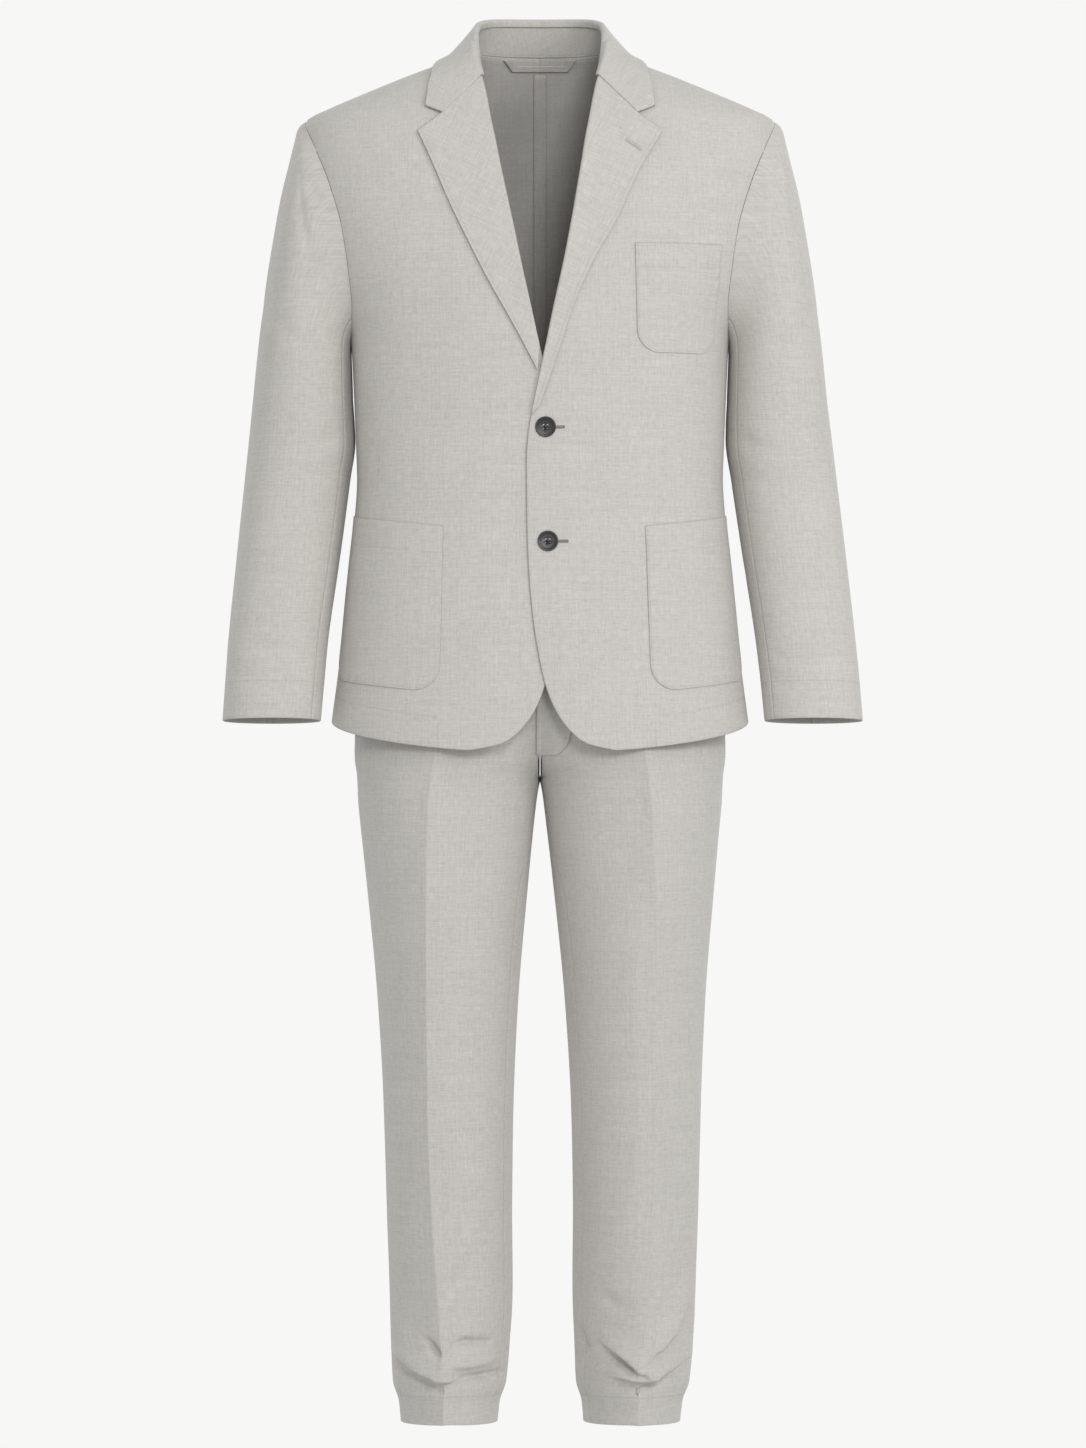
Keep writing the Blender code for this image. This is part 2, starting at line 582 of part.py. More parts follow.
def along_ring(height, turn, distance):
    """The angle that lies a distance round the jacket from another, toward the side."""
    fine = np.linspace(-math.pi / 2, math.pi / 3, 400)
    result = np.empty(np.broadcast(height, turn, distance).shape)
    for place, (z, start, length) in enumerate(np.broadcast(height, turn, distance)):
        ring = torso(fine, np.full_like(fine, z))
        run = np.concatenate(([0], np.cumsum(np.linalg.norm(np.diff(ring, axis=0), axis=1))))
        result.flat[place] = np.interp(np.interp(start, fine, run) + length, run, fine)
    return result


def pocket(name, side, corner, lean, wide, tall, tilt, radius):
    """A patch pocket: its upper inner corner (x, height), then lean, width, height, rise of its mouth and corner."""
    down, across = patch_outline(10, 8, tall, radius, wide)
    height = corner[1] - down * tall + across * tilt
    start = torso_turn(height, x=corner[0] + lean * down)
    points = torso(along_ring(height, start, across * wide), height)
    points = settle(points, CLOTH + 1.7 * REST + lap(points[..., 0], side))
    wall(name, points, torso_normal(points)[0], CLOTH, side)


def button(name, place):
    """A round button with a rim and four holes, lying on the left front."""
    radius = BUTTON_RADIUS
    profile = ((0, 0.0004), (0.80, 0.0000), (0.94, 0.0006), (1, 0.0016), (0.97, 0.0027), (0.88, 0.0031),
               (0.76, 0.0026), (0.62, 0.0021), (0, 0.0020))
    segments = 20
    work = bmesh.new()
    centre = work.verts.new((0, 0, profile[0][1]))
    rings = []
    for share, out in profile[1:-1]:
        turns = [2 * math.pi * k / segments for k in range(segments)]
        rings.append([work.verts.new((radius * share * math.cos(a), radius * share * math.sin(a), out)) for a in turns])
    crown = work.verts.new((0, 0, profile[-1][1]))
    for k in range(segments):
        j = (k + 1) % segments
        work.faces.new((centre, rings[0][j], rings[0][k]))
        work.faces.new((crown, rings[-1][k], rings[-1][j]))
        for low, high in zip(rings, rings[1:]):
            work.faces.new((low[k], low[j], high[j], high[k]))
    for face in work.faces:
        face.smooth = True
    bmesh.ops.recalc_face_normals(work, faces=work.faces[:])
    mesh = bpy.data.meshes.new(name)
    work.to_mesh(mesh)
    work.free()
    made = add_object(name, mesh, HORN)
    seat = on_front(np.array(place[0]), np.array(place[1]), REST / 2, 1)
    normal = torso_normal(seat)[0]
    spin = np.array((0, 0, 1.0)) - normal * normal[2]
    upright = unit(spin)
    sideways = np.cross(upright, normal)
    frame = np.stack((sideways, upright, normal), 1)
    for vertex in mesh.vertices:
        vertex.co = (frame @ np.array(vertex.co) + seat).tolist()
    work = bmesh.new()
    for across, up in ((-1, -1), (-1, 1), (1, -1), (1, 1)):
        foot = seat + sideways * across * HOLE_PLACE + upright * up * HOLE_PLACE - normal * 0.002
        ends = []
        for out in (0, 0.008):
            middle = foot + normal * out
            ring = []
            for k in range(8):
                turn = math.pi * k / 4
                spoke = sideways * math.cos(turn) + upright * math.sin(turn)
                ring.append(work.verts.new((middle + spoke * HOLE_RADIUS).tolist()))
            ends.append(ring)
        work.faces.new(ends[0])
        work.faces.new(ends[1][::-1])
        for k in range(8):
            j = (k + 1) % 8
            work.faces.new((ends[0][k], ends[1][k], ends[1][j], ends[0][j]))
    bmesh.ops.recalc_face_normals(work, faces=work.faces[:])
    drill = bpy.data.meshes.new(name + "_holes")
    work.to_mesh(drill)
    work.free()
    cutter = add_object(name + "_holes", drill, HORN)
    cutter.hide_render = True
    cutter.display_type = "WIRE"
    holes = made.modifiers.new("holes", "BOOLEAN")
    holes.object = cutter
    holes.solver = "EXACT"


def hanger_loop(name):
    """A flat loop inside the back neck, sewn at both ends and hanging clear between them."""
    outer_top, outer_low, inner_top, inner_low = (np.array(corner) for corner in LOOP)
    outer = np.array((outer_top * (-1, 1), outer_low * (-1, 1), outer_low * (0, 1), outer_low, outer_top))
    inner = np.array((inner_top * (-1, 1), inner_low * (-1, 1), inner_low * (0, 1), inner_low, inner_top))
    flat = outer[None] + (inner - outer)[None] * np.linspace(0, 1, 3)[:, None, None]
    fine = [flat[:, 0]]
    for k in range(4):
        steps = 2 if k in (0, 3) else 3
        for share in np.linspace(0, 1, steps + 1)[1:]:
            fine.append(flat[:, k] + (flat[:, k + 1] - flat[:, k]) * share)
    flat = np.stack(fine, 1)
    points = torso(torso_turn(flat[..., 1], x=flat[..., 0], face=1), flat[..., 1])
    points = settle(points, -CLOTH - 3 * REST)
    wall(name, points, torso_normal(points)[0], 0.0012)


def back_tape(name):
    """A narrow tape over the centre seam, inside the back."""
    height = body_rows()[1:, None]
    height[0] = -0.0060
    across = np.array((-TAPE_HALF, 0, TAPE_HALF))[None]
    points = torso(torso_turn(height, x=across + 0 * height, face=1), height + 0 * across)
    points = settle(points, -CLOTH - 1.5 * REST)
    wall(name, points, torso_normal(points)[0], 0.0010)


def leg(turn, height, side=0):
    """A trouser leg's surface at an angle round it: 0 outward, -90 degrees in front. Side 0 is a leg with no folds."""
    turn, height = np.broadcast_arrays(turn, height)
    half = curve(LEG, "half", height)
    middle = curve(LEG, "middle", height)
    crease = np.radians(curve(LEG, "crease", height))
    across, along = np.cos(turn), np.sin(turn)
    round_by = (np.abs(across) ** 2.1 + np.abs(along) ** 2.1) ** (-1 / 2.1)
    depth = np.where(along < 0, curve(LEG, "front", height), curve(LEG, "back", height))
    pressed = 0.075 * soft((-0.52 - height) / 0.12)
    for place in (crease, -crease):
        away = np.abs((turn - place + math.pi) % (2 * math.pi) - math.pi)
        round_by = round_by * (1 + pressed * np.exp(-away / 0.26))
    bump = 0
    folds = FOLDS.get(side, {"width": ()})
    for k in range(len(folds["width"])):
        start = np.array((math.radians(folds["from_turn"][k]), folds["from_height"][k]))
        step = np.array((math.radians(folds["to_turn"][k]), folds["to_height"][k])) - start
        off = (turn - start[0] + math.pi) % (2 * math.pi) - math.pi
        size = np.array((half.mean(), 1.0))
        run = np.clip((off * step[0] * size[0] ** 2 + (height - start[1]) * step[1]) / np.sum((step * size) ** 2), 0, 1)
        gap = np.hypot((off - run * step[0]) * size[0], height - start[1] - run * step[1])
        bump = bump + folds["depth"][k] * np.exp(-(gap / folds["width"][k]) ** 2) * (1 - 0.4 * np.abs(2 * run - 1) ** 2)
    round_by = round_by * (1 + bump / np.maximum(half, 0.05))
    x = middle + half * round_by * across + side * curve(LEG, "sway", height)
    return np.stack((x, depth * round_by * along, height), -1)


def leg_border(height, face, side):
    """The angle where a leg's panel meets the middle plane above the fork, and the inseam below it."""
    fork = height >= CROTCH - 1e-6
    low = np.full_like(height, math.pi / 2)
    high = np.full_like(height, math.pi)
    for _ in range(40):
        mid = (low + high) / 2
        right = leg(face * mid, height, side)[..., 0] > SEAM
        low = np.where(right, mid, low)
        high = np.where(right, high, mid)
    inseam = math.pi + face * math.radians(27) * soft((CROTCH - height) / 0.12)
    return face * np.where(fork, (low + high) / 2, inseam)


def trouser_panel(name, side, face):
    """A front or back of a leg, from the waist seam to the hem, its crease on a column of its own."""
    height = np.array(LEG_ROWS)
    crease = -face * np.radians(curve(LEG, "crease", height))
    border = leg_border(height, face, side)
    first = np.linspace(0, 1, 6)[None]
    outer = LEG_OUTSEAM + (crease - LEG_OUTSEAM)[:, None] * first
    second = crease[:, None] + (border - crease)[:, None] * first[:, 1:]
    turn = np.concatenate((outer, second), 1)
    place = height[:, None] + 0 * turn
    hem = HEM[0] + (HEM[1] - HEM[0]) * (1 + np.sin(turn[-1])) / 2
    place[-1] = hem
    points = leg(turn, place, side)
    around = leg(turn + 1e-4, place, side) - leg(turn - 1e-4, place, side)
    along = leg(turn, place + 1e-5, side) - leg(turn, place - 1e-5, side)
    normal = unit(np.cross(around, along))
    return wall(name, keep_back(points, first_row=2 * SEAM), normal, CLOTH, side)


def waistband(name):
    """The band over the tops of the trouser panels, its ends meeting at the fly."""
    half_turn = np.linspace(-math.pi / 2, math.pi / 2, 14)
    height = np.linspace(WAIST[0], WAIST[1] + SEAM, 3)[:, None]
    half = leg(half_turn[None] + 0 * height, height + 0 * half_turn[None])
    half[:, 0, 0] = SEAM
    half[:, -1, 0] = 0
    ring = np.concatenate((half, half[:, -2::-1] * (-1, 1, 1)), 1)
    normal = unit(ring * (1, 1.6, 0))
    wall(name, ring, normal, DOUBLE)


def fly(name):
    """The fly's visible flap, lying over the centre front below the band."""
    height = np.array((-0.5390, -0.580, -0.625, -0.665, -0.700, -0.728, -0.742, -0.748))[:, None]
    width = np.array((1, 1, 1, 1, 0.98, 0.86, 0.6, 0.35))[:, None]
    across = FLY[0] + (FLY[1] - FLY[0]) * np.linspace(0, 1, 5)[None] * width
    depth = np.stack([leg_front(across[r], float(height[r, 0])) for r in range(len(height))])
    points = np.stack((across, depth - 3 * REST - CLOTH, height + 0 * across), -1)
    wall(name, points, grid_normal(points), CLOTH)


def leg_front(across, height):
    """How far forward the trouser fronts reach at those x."""
    turn = np.linspace(-math.pi, -0.3, 600)
    ring = leg(turn, np.full_like(turn, height))
    order = np.argsort(ring[:, 0])
    return np.interp(np.abs(across), ring[order, 0], ring[order, 1])


def main():
    """Builds the suit."""
    for old in list(bpy.data.objects):
        bpy.data.objects.remove(old)
    for side, word in ((1, "left"), (-1, "right")):
        jacket_front(side, f"jacket_front_{word}")
        jacket_back(side, f"jacket_back_{word}")
        lapel(side, f"lapel_{word}")
        sleeve(side, word)
        for face, place in ((-1, "front"), (1, "back")):
            trouser_panel(f"trouser_{place}_{word}", side, face)
    collar("collar_fall", "collar_stand")
    pocket("pocket_chest", 1, (0.0990, -0.2095), 0.003, 0.0980, 0.1135, 0.001, 0.024)
    pocket("pocket_hip_left", 1, (0.1100, -0.5040), 0.006, 0.1480, 0.1740, 0.0155, 0.030)
    pocket("pocket_hip_right", -1, (0.1010, -0.5040), 0.004, 0.1560, 0.1740, 0.0155, 0.030)
    for name, place in BUTTONS.items():
        button(name, place)
    hanger_loop("hanger_loop")
    back_tape("back_seam_tape")
    waistband("waistband")
    fly("fly")


main()
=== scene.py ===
"""Linen suit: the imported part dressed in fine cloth, with seams, stitching, folds, buttons and buttonholes.

Metres, in the part's own frame: +Z up, the front faces -Y and the wearer's left is +X.
Every cloth piece is a thin shell on the surface that its solid is cut from.
"""

import logging
import math
from dataclasses import dataclass, field
from enum import Enum
from functools import partial

import bmesh
import bpy
import numpy as np
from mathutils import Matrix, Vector


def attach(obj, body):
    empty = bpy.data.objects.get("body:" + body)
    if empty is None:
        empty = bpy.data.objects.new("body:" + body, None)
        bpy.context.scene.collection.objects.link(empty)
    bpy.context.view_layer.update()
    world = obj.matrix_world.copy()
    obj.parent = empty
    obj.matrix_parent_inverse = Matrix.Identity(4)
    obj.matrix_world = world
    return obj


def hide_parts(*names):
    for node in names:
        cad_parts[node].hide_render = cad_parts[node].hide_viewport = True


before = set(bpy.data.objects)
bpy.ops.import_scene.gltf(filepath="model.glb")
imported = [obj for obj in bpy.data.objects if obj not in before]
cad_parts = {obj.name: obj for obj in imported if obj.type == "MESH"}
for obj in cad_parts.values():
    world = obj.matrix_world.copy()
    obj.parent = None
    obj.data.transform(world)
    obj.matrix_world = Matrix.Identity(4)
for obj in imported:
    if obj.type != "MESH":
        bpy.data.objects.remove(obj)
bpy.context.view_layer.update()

LOG = logging.getLogger("suit")

CLOTH = 0.0010  # one layer of linen
DOUBLE = 0.0019  # linen lying double
REST = 0.0006  # the air under a piece that lies on another
LAP_LIFT = 0.0011  # how far the left front rises and the right one sinks where they overlap
LAP_WIDTH = 0.055  # how far from the middle that begins
LAP_FULL = 0.022  # and from where it is whole
NECK_SEAM = 0.0100  # height of the collar's seam
ARM_MIDDLE = -0.1865  # height of the armhole's middle
ARM_TALL = 0.1185  # half of the armhole's height
ARM_FRONT = 0.078  # how far the armhole reaches forward
ARM_BACK = 0.085  # and back
SIDE_TURN = math.radians(9)  # how far the side seam lies behind the armhole's foot
CORNER_COLUMNS = 28  # columns between the gorge and the notch
TENTHS = 10000  # tenths of a millimetre in a metre


class Worded(Enum):
    """Options whose names stand in the names of pieces."""

    @property
    def word(self) -> str:
        """The option's name in lower case."""
        return self.name.lower()


class Side(Worded):
    """The wearer's sides, by the sign of x."""

    LEFT = 1
    RIGHT = -1


class Face(Worded):
    """The two faces of a garment, by the sign of y."""

    FRONT = -1
    BACK = 1


class Held(Enum):
    HUNG = "hung"
    LAID = "laid"
    FOLDED = "folded"


class Weave(Enum):
    """How the threads run: upright from the body's middle, down a limb, flat in the front view, or along the edges."""

    BODY = 1
    LIMB = 2
    FLAT = 3
    EDGES = 4


@dataclass(frozen=True)
class Table:
    """Named columns over rising places, read between rows by a cubic that adds no rise or fall."""

    columns: dict

    @staticmethod
    def of(names: str, *rows: tuple) -> "Table":
        """Makes a table.

        Args:
            names: the columns' names in one string.
            *rows: one tuple of numbers for each row, from the top down.

        Returns:
            The table, its rows turned so that heights rise.
        """
        return Table(dict(zip(names.split(), np.array(rows[::-1], float).T)))

    def at(self, name: str, place: np.ndarray, over: str = "height") -> np.ndarray:
        """Reads a column at other places.

        Args:
            name: the column to read.
            place: where to read it, in units of the column named by over.
            over: the column that the places belong to.

        Returns:
            The column's values there.
        """
        x = self.columns[over]
        y = self.columns[name]
        step = np.diff(x)
        rise = np.diff(y) / step
        slope = np.concatenate((rise[:1], np.zeros(len(x) - 2), rise[-1:]))
        same = rise[:-1] * rise[1:] > 0
        total = np.where(same, rise[:-1] + rise[1:], 1)
        slope[1:-1] = np.where(same, 2 * rise[:-1] * rise[1:] / total, 0)
        place = np.clip(place, x[0], x[-1])
        i = np.clip(np.searchsorted(x, place) - 1, 0, len(x) - 2)
        t = (place - x[i]) / step[i]
        start = (1 + 2 * t) * (1 - t) ** 2 * y[i] + t * (1 - t) ** 2 * step[i] * slope[i]
        end = t * t * (3 - 2 * t) * y[i + 1] - t * t * (1 - t) * step[i] * slope[i + 1]
        return start + end


def soft(value: np.ndarray) -> np.ndarray:
    """A smooth step from 0 to 1."""
    value = np.clip(value, 0, 1)
    return value * value * (3 - 2 * value)


def unit(vectors: np.ndarray) -> np.ndarray:
    """Vectors at length one."""
    return vectors / np.maximum(np.linalg.norm(vectors, axis=-1, keepdims=True), 1e-12)


def run_length(points: np.ndarray, axis: int) -> np.ndarray:
    """Length along a grid of points from its first row or column.

    Args:
        points: rows by columns by 3.
        axis: 0 down the columns, 1 along the rows.

    Returns:
        The length at each point.
    """
    steps = np.linalg.norm(np.diff(points, axis=axis), axis=-1)
    start = np.zeros_like(np.take(steps, [0], axis=axis))
    return np.cumsum(np.concatenate((start, steps), axis), axis)


def from_end(points: np.ndarray, axis: int, inset: float) -> np.ndarray:
    """Distances from a line that runs inside the last row (axis 0) or the last column (axis 1) of a grid.

    Args:
        points: rows by columns by 3.
        axis: 0 for the last row, 1 for the last column.
        inset: how far inside it the line runs.

    Returns:
        The distance at each point, negative past the line.
    """
    run = run_length(points, axis)
    return np.take(run, [-1], axis) - run - inset


def grid_normal(grid: np.ndarray, wrap: bool = False) -> np.ndarray:
    """Directions square to a grid of points.

    Args:
        grid: rows by columns by 3.
        wrap: whether the last column meets the first.

    Returns:
        One unit vector for each point.
    """
    if wrap:
        padded = np.concatenate((grid[:, -1:], grid, grid[:, :1]), 1)
        across = (padded[:, 2:] - padded[:, :-2]) / 2
    else:
        across = np.gradient(grid, axis=1)
    return unit(np.cross(np.gradient(grid, axis=0), across))


def metres(tenths: tuple) -> tuple:
    """Whole tenths of a millimetre, in metres."""
    return tuple(value / TENTHS for value in tenths)


@dataclass(frozen=True)
class Path:
    """A fold through a few places (across, height, depth), with its width on either hand, all in tenths."""

    left: int
    right: int
    places: tuple

    def depth(self, across: np.ndarray, height: np.ndarray) -> np.ndarray:
        """How far the fold lifts the cloth at each point.

        Args:
            across: places across the cloth in metres.
            height: heights in metres.

        Returns:
            The lift in metres, negative in a trough.
        """
        nearest = np.full(across.shape, np.inf)
        lift = np.zeros(across.shape)
        left, right = metres((self.left, self.right))
        places = [metres(place) for place in self.places]
        for (x, z, deep), (next_x, next_z, next_deep) in zip(places, places[1:]):
            dx, dz = next_x - x, next_z - z
            run = np.clip(((across - x) * dx + (height - z) * dz) / (dx * dx + dz * dz), 0, 1)
            off_x, off_z = across - x - run * dx, height - z - run * dz
            gap = np.hypot(off_x, off_z)
            width = np.where(dx * off_z > dz * off_x, left, right)
            value = (deep + (next_deep - deep) * run) * np.exp(-((gap / width) ** 2))
            lift = np.where(gap < nearest, value, lift)
            nearest = np.minimum(gap, nearest)
        return lift


@dataclass(frozen=True)
class Folds:
    """Ridges and troughs: straight ones (across, height, to across, to height, width, depth) in tenths, and paths."""

    rows: tuple = ()
    paths: tuple = ()
    end_loss: float = 0.45

    def depth(self, across: np.ndarray, height: np.ndarray) -> np.ndarray:
        """How far the folds lift the cloth at each point.

        Args:
            across: places across the cloth in metres.
            height: heights in metres.

        Returns:
            The lift in metres, negative in a trough.
        """
        lift = np.zeros(np.broadcast(across, height).shape)
        for from_across, from_height, to_across, to_height, width, deep in map(metres, self.rows):
            step = np.array((to_across - from_across, to_height - from_height))
            dx, dz = across - from_across, height - from_height
            held = np.clip((dx * step[0] + dz * step[1]) / max(step @ step, 1e-9), 0, 1)
            gap = np.hypot(dx - held * step[0], dz - held * step[1])
            lift += deep * np.exp(-((gap / width) ** 2)) * (1 - self.end_loss * (2 * held - 1) ** 2)
        for path in self.paths:
            lift += path.depth(across, height)
        return lift


# The jacket's rings: half width, depth in front and behind, and the power that squares the oval.
TORSO = Table.of(
    "height width front back square",
    (0.0100, 0.0800, 0.0600, 0.0750, 2.3),
    (-0.001, 0.0940, 0.0630, 0.0800, 2.4),
    (-0.010, 0.1120, 0.0655, 0.0830, 2.45),
    (-0.020, 0.1385, 0.0690, 0.0870, 2.5),
    (-0.042, 0.1920, 0.0800, 0.0950, 2.6),
    (-0.059, 0.2305, 0.0890, 0.1020, 2.7),
    (-0.068, 0.2482, 0.0935, 0.1050, 2.7),
    (-0.080, 0.2530, 0.0995, 0.1090, 2.7),
    (-0.105, 0.2535, 0.1090, 0.1150, 2.7),
    (-0.140, 0.2490, 0.1180, 0.1210, 2.7),
    (-0.190, 0.2380, 0.1250, 0.1260, 2.6),
    (-0.235, 0.2240, 0.1285, 0.1265, 2.5),
    (-0.275, 0.2090, 0.1290, 0.1250, 2.4),
    (-0.300, 0.2020, 0.1290, 0.1230, 2.4),
    (-0.350, 0.1990, 0.1270, 0.1170, 2.4),
    (-0.410, 0.1965, 0.1240, 0.1110, 2.4),
    (-0.450, 0.1952, 0.1225, 0.1100, 2.4),
    (-0.495, 0.1980, 0.1220, 0.1130, 2.4),
    (-0.540, 0.2028, 0.1230, 0.1190, 2.4),
    (-0.580, 0.2070, 0.1245, 0.1250, 2.4),
    (-0.625, 0.2115, 0.1265, 0.1300, 2.4),
    (-0.665, 0.2165, 0.1285, 0.1320, 2.4),
    (-0.710, 0.2225, 0.1305, 0.1330, 2.4),
    (-0.740, 0.2262, 0.1320, 0.1335, 2.4),
)

# The front edge: its x, the height of the same row at the side, and how much closer the right front's is.
EDGE = Table.of(
    "height across side closer",
    (0.0030, 0.0775, 0.0096, 0),
    (-0.012, 0.0712, -0.012, 0),
    (-0.0305, 0.0606, -0.0305, 0),
    (-0.050, 0.0560, -0.050, 0),
    (-0.079, 0.0507, -0.079, 0),
    (-0.100, 0.0467, -0.100, 0.0005),
    (-0.124, 0.0430, -0.124, 0.0015),
    (-0.2146, 0.0271, -0.2146, 0.0048),
    (-0.2906, 0.0108, -0.2906, 0.0050),
    (-0.3050, 0.0080, -0.3050, 0.0052),
    (-0.3448, -0.0003, -0.3400, 0.0062),
    (-0.3833, -0.0078, -0.3750, 0.0045),
    (-0.4062, -0.0122, -0.4000, 0.0015),
    (-0.4364, -0.0143, -0.4300, 0),
    (-0.4690, -0.0141, -0.4600, 0),
    (-0.5010, -0.0138, -0.4920, 0),
    (-0.5447, -0.0122, -0.5320, 0),
    (-0.5978, -0.0078, -0.5800, 0.0020),
    (-0.6447, -0.0005, -0.6220, 0.0080),
    (-0.6707, 0.0057, -0.6470, 0.0110),
    (-0.6967, 0.0161, -0.6690, 0.0110),
    (-0.7207, 0.0338, -0.6880, 0.0100),
    (-0.7321, 0.0505, -0.6980, 0.0090),
    (-0.7384, 0.0797, -0.7065, 0.0060),
)


class TorsoForm:
    """The jacket's body surface, as rings of a rounded oval at each height."""

    def point(self, turn: np.ndarray, height: np.ndarray) -> np.ndarray:
        """Points on the surface.

        Args:
            turn: angle round the body, 0 at the wearer's left and -90 degrees in front.
            height: heights in metres.

        Returns:
            The points.
        """
        turn, height = np.broadcast_arrays(turn, height)
        square = TORSO.at("square", height)
        across, along = np.cos(turn), np.sin(turn)
        reach = (np.abs(across) ** square + np.abs(along) ** square) ** (-1 / square)
        depth = np.where(along < 0, TORSO.at("front", height), TORSO.at("back", height))
        return np.stack((TORSO.at("width", height) * reach * across, depth * reach * along, height), -1)

    def turn_of_x(self, x: np.ndarray, height: np.ndarray, face: Face = Face.FRONT) -> np.ndarray:
        """The angle of points with a known x on one face.

        Args:
            x: places across.
            height: heights in metres.
            face: front or back.

        Returns:
            The angles.
        """
        square = TORSO.at("square", height)
        across = np.clip(x / TORSO.at("width", height), -1, 1)
        return np.arctan2(face.value * (1 - np.abs(across) ** square) ** (1 / square), across)

    def turn_of_y(self, reach: np.ndarray, height: np.ndarray, face: Face) -> np.ndarray:
        """The angle of points that far forward or back, on the wearer's left.

        Args:
            reach: how far forward or back.
            height: heights in metres.
            face: front or back.

        Returns:
            The angles.
        """
        square = TORSO.at("square", height)
        depth = TORSO.at("front" if face is Face.FRONT else "back", height)
        along = np.clip(reach / depth, 0, 1)
        return np.arctan2(face.value * along, (1 - along ** square) ** (1 / square))

    def fullness(self, points: np.ndarray) -> np.ndarray:
        """How far out points lie, by a measure that is 1 on the surface.

        Args:
            points: the points.

        Returns:
            1 on the surface, less inside it and more outside.
        """
        x, y, z = np.moveaxis(points, -1, 0)
        square = TORSO.at("square", z)
        depth = np.where(y < 0, TORSO.at("front", z), TORSO.at("back", z))
        return (np.abs(x / TORSO.at("width", z)) ** square + np.abs(y / depth) ** square) ** (1 / square)

    def slope(self, points: np.ndarray) -> tuple:
        """How fullness grows.

        Args:
            points: the points.

        Returns:
            The outward direction at points, and how fast fullness grows along it.
        """
        nudge = 2e-5 * np.eye(3)
        slope = np.stack([(self.fullness(points + s) - self.fullness(points - s)) / 4e-5 for s in nudge], -1)
        return unit(slope), np.linalg.norm(slope, axis=-1)

    def normal(self, points: np.ndarray) -> np.ndarray:
        """The outward direction at points."""
        return self.slope(points)[0]

    def settle(self, points: np.ndarray, lift: np.ndarray, only_up: bool = False) -> np.ndarray:
        """Points moved square to the surface until they lie that far off it.

        Args:
            points: where they are now.
            lift: how far off they shall lie.
            only_up: whether points that are farther out already stay there.

        Returns:
            The moved points.
        """
        for _ in range(4):
            normal, growth = self.slope(points)
            short = lift - (self.fullness(points) - 1) / growth
            if only_up:
                short = np.where(points[..., 2] > NECK_SEAM, 0, np.maximum(short, 0))
            points = points + normal * short[..., None]
        return points

    def lap(self, x: np.ndarray, side: Side) -> np.ndarray:
        """How far a front lies off the common surface where left passes over right."""
        return side.value * LAP_LIFT * soft((LAP_WIDTH - x) / (LAP_WIDTH - LAP_FULL))

    def placed(self, x: np.ndarray, height: np.ndarray, lift: np.ndarray, face: Face = Face.FRONT) -> np.ndarray:
        """Points at an x and height on one face, lifted off the surface."""
        return self.settle(self.point(self.turn_of_x(x, height, face), height), lift)

    def on_front(self, x: np.ndarray, height: np.ndarray, lift: np.ndarray, side: Side) -> np.ndarray:
        """Points at an x and height on one front, lifted off its cloth."""
        return self.placed(x, height, lift + self.lap(x, side) + FRONT_FOLDS[side].depth(x, height))


def front_edge(height: np.ndarray, side: Side) -> np.ndarray:
    """The x of a front's edge; the right front's, as in a mirror, is closer to the middle."""
    return EDGE.at("across", height) - (EDGE.at("closer", height) if side is Side.RIGHT else 0)


FRONT_FOLDS = {
    Side.LEFT: Folds((
        (1350, -1200, 1900, -2000, 160, 10),
        (700, -4200, 1500, -4700, 220, 12),
        (400, -4700, 1100, -5000, 180, -10),
        (200, -6000, 750, -6900, 200, 10),
        (1050, -3300, 1250, -4300, 200, -12),
    )),
    Side.RIGHT: Folds((
        (1350, -1200, 1900, -2000, 160, 10),
        (600, -4300, 1500, -4550, 200, 13),
        (500, -3950, 1200, -4050, 180, -9),
        (300, -5900, 800, -6900, 200, 10),
        (1200, -3300, 1400, -4400, 220, -10),
    )),
}
BACK_FOLDS = Folds((
    (-1700, -3300, 100, -3450, 200, -16),
    (1700, -3450, -200, -3700, 220, -14),
    (1800, -2150, 1100, -3000, 220, 22),
    (-1800, -2150, -1100, -3000, 220, 22),
    (1500, -4200, 400, -4600, 200, 14),
    (-1500, -4300, -400, -4500, 200, 14),
    (1000, -5600, 800, -7000, 260, 20),
    (-950, -5600, -850, -7000, 260, 20),
))
TORSO_FORM = TorsoForm()

# The sleeve: its outer and inner x, its front and back y, and a drift of both sleeves to the wearer's left.
SLEEVE = Table.of(
    "height outer inner front back sway",
    (-0.068, 0.2585, 0.1870, -0.0760, 0.0820, 0.0000),
    (-0.088, 0.2615, 0.1900, -0.0765, 0.0820, 0.0000),
    (-0.109, 0.2665, 0.1920, -0.0770, 0.0820, 0.0000),
    (-0.152, 0.2770, 0.1950, -0.0770, 0.0815, 0.0000),
    (-0.194, 0.2846, 0.1975, -0.0760, 0.0805, 0.0000),
    (-0.237, 0.2916, 0.1995, -0.0740, 0.0785, 0.0000),
    (-0.290, 0.2985, 0.2025, -0.0700, 0.0750, 0.0000),
    (-0.330, 0.3030, 0.2008, -0.0660, 0.0720, 0.0000),
    (-0.365, 0.3065, 0.1996, -0.0620, 0.0700, 0.0000),
    (-0.408, 0.3114, 0.1978, -0.0570, 0.0670, 0.0005),
    (-0.451, 0.3162, 0.2035, -0.0550, 0.0620, 0.0008),
    (-0.536, 0.3250, 0.2150, -0.0620, 0.0450, 0.0015),
    (-0.622, 0.3330, 0.2270, -0.0760, 0.0220, 0.0020),
    (-0.664, 0.3360, 0.2310, -0.0830, 0.0090, 0.0026),
    (-0.712, 0.3390, 0.2350, -0.0900, -0.0060, 0.0029),
)

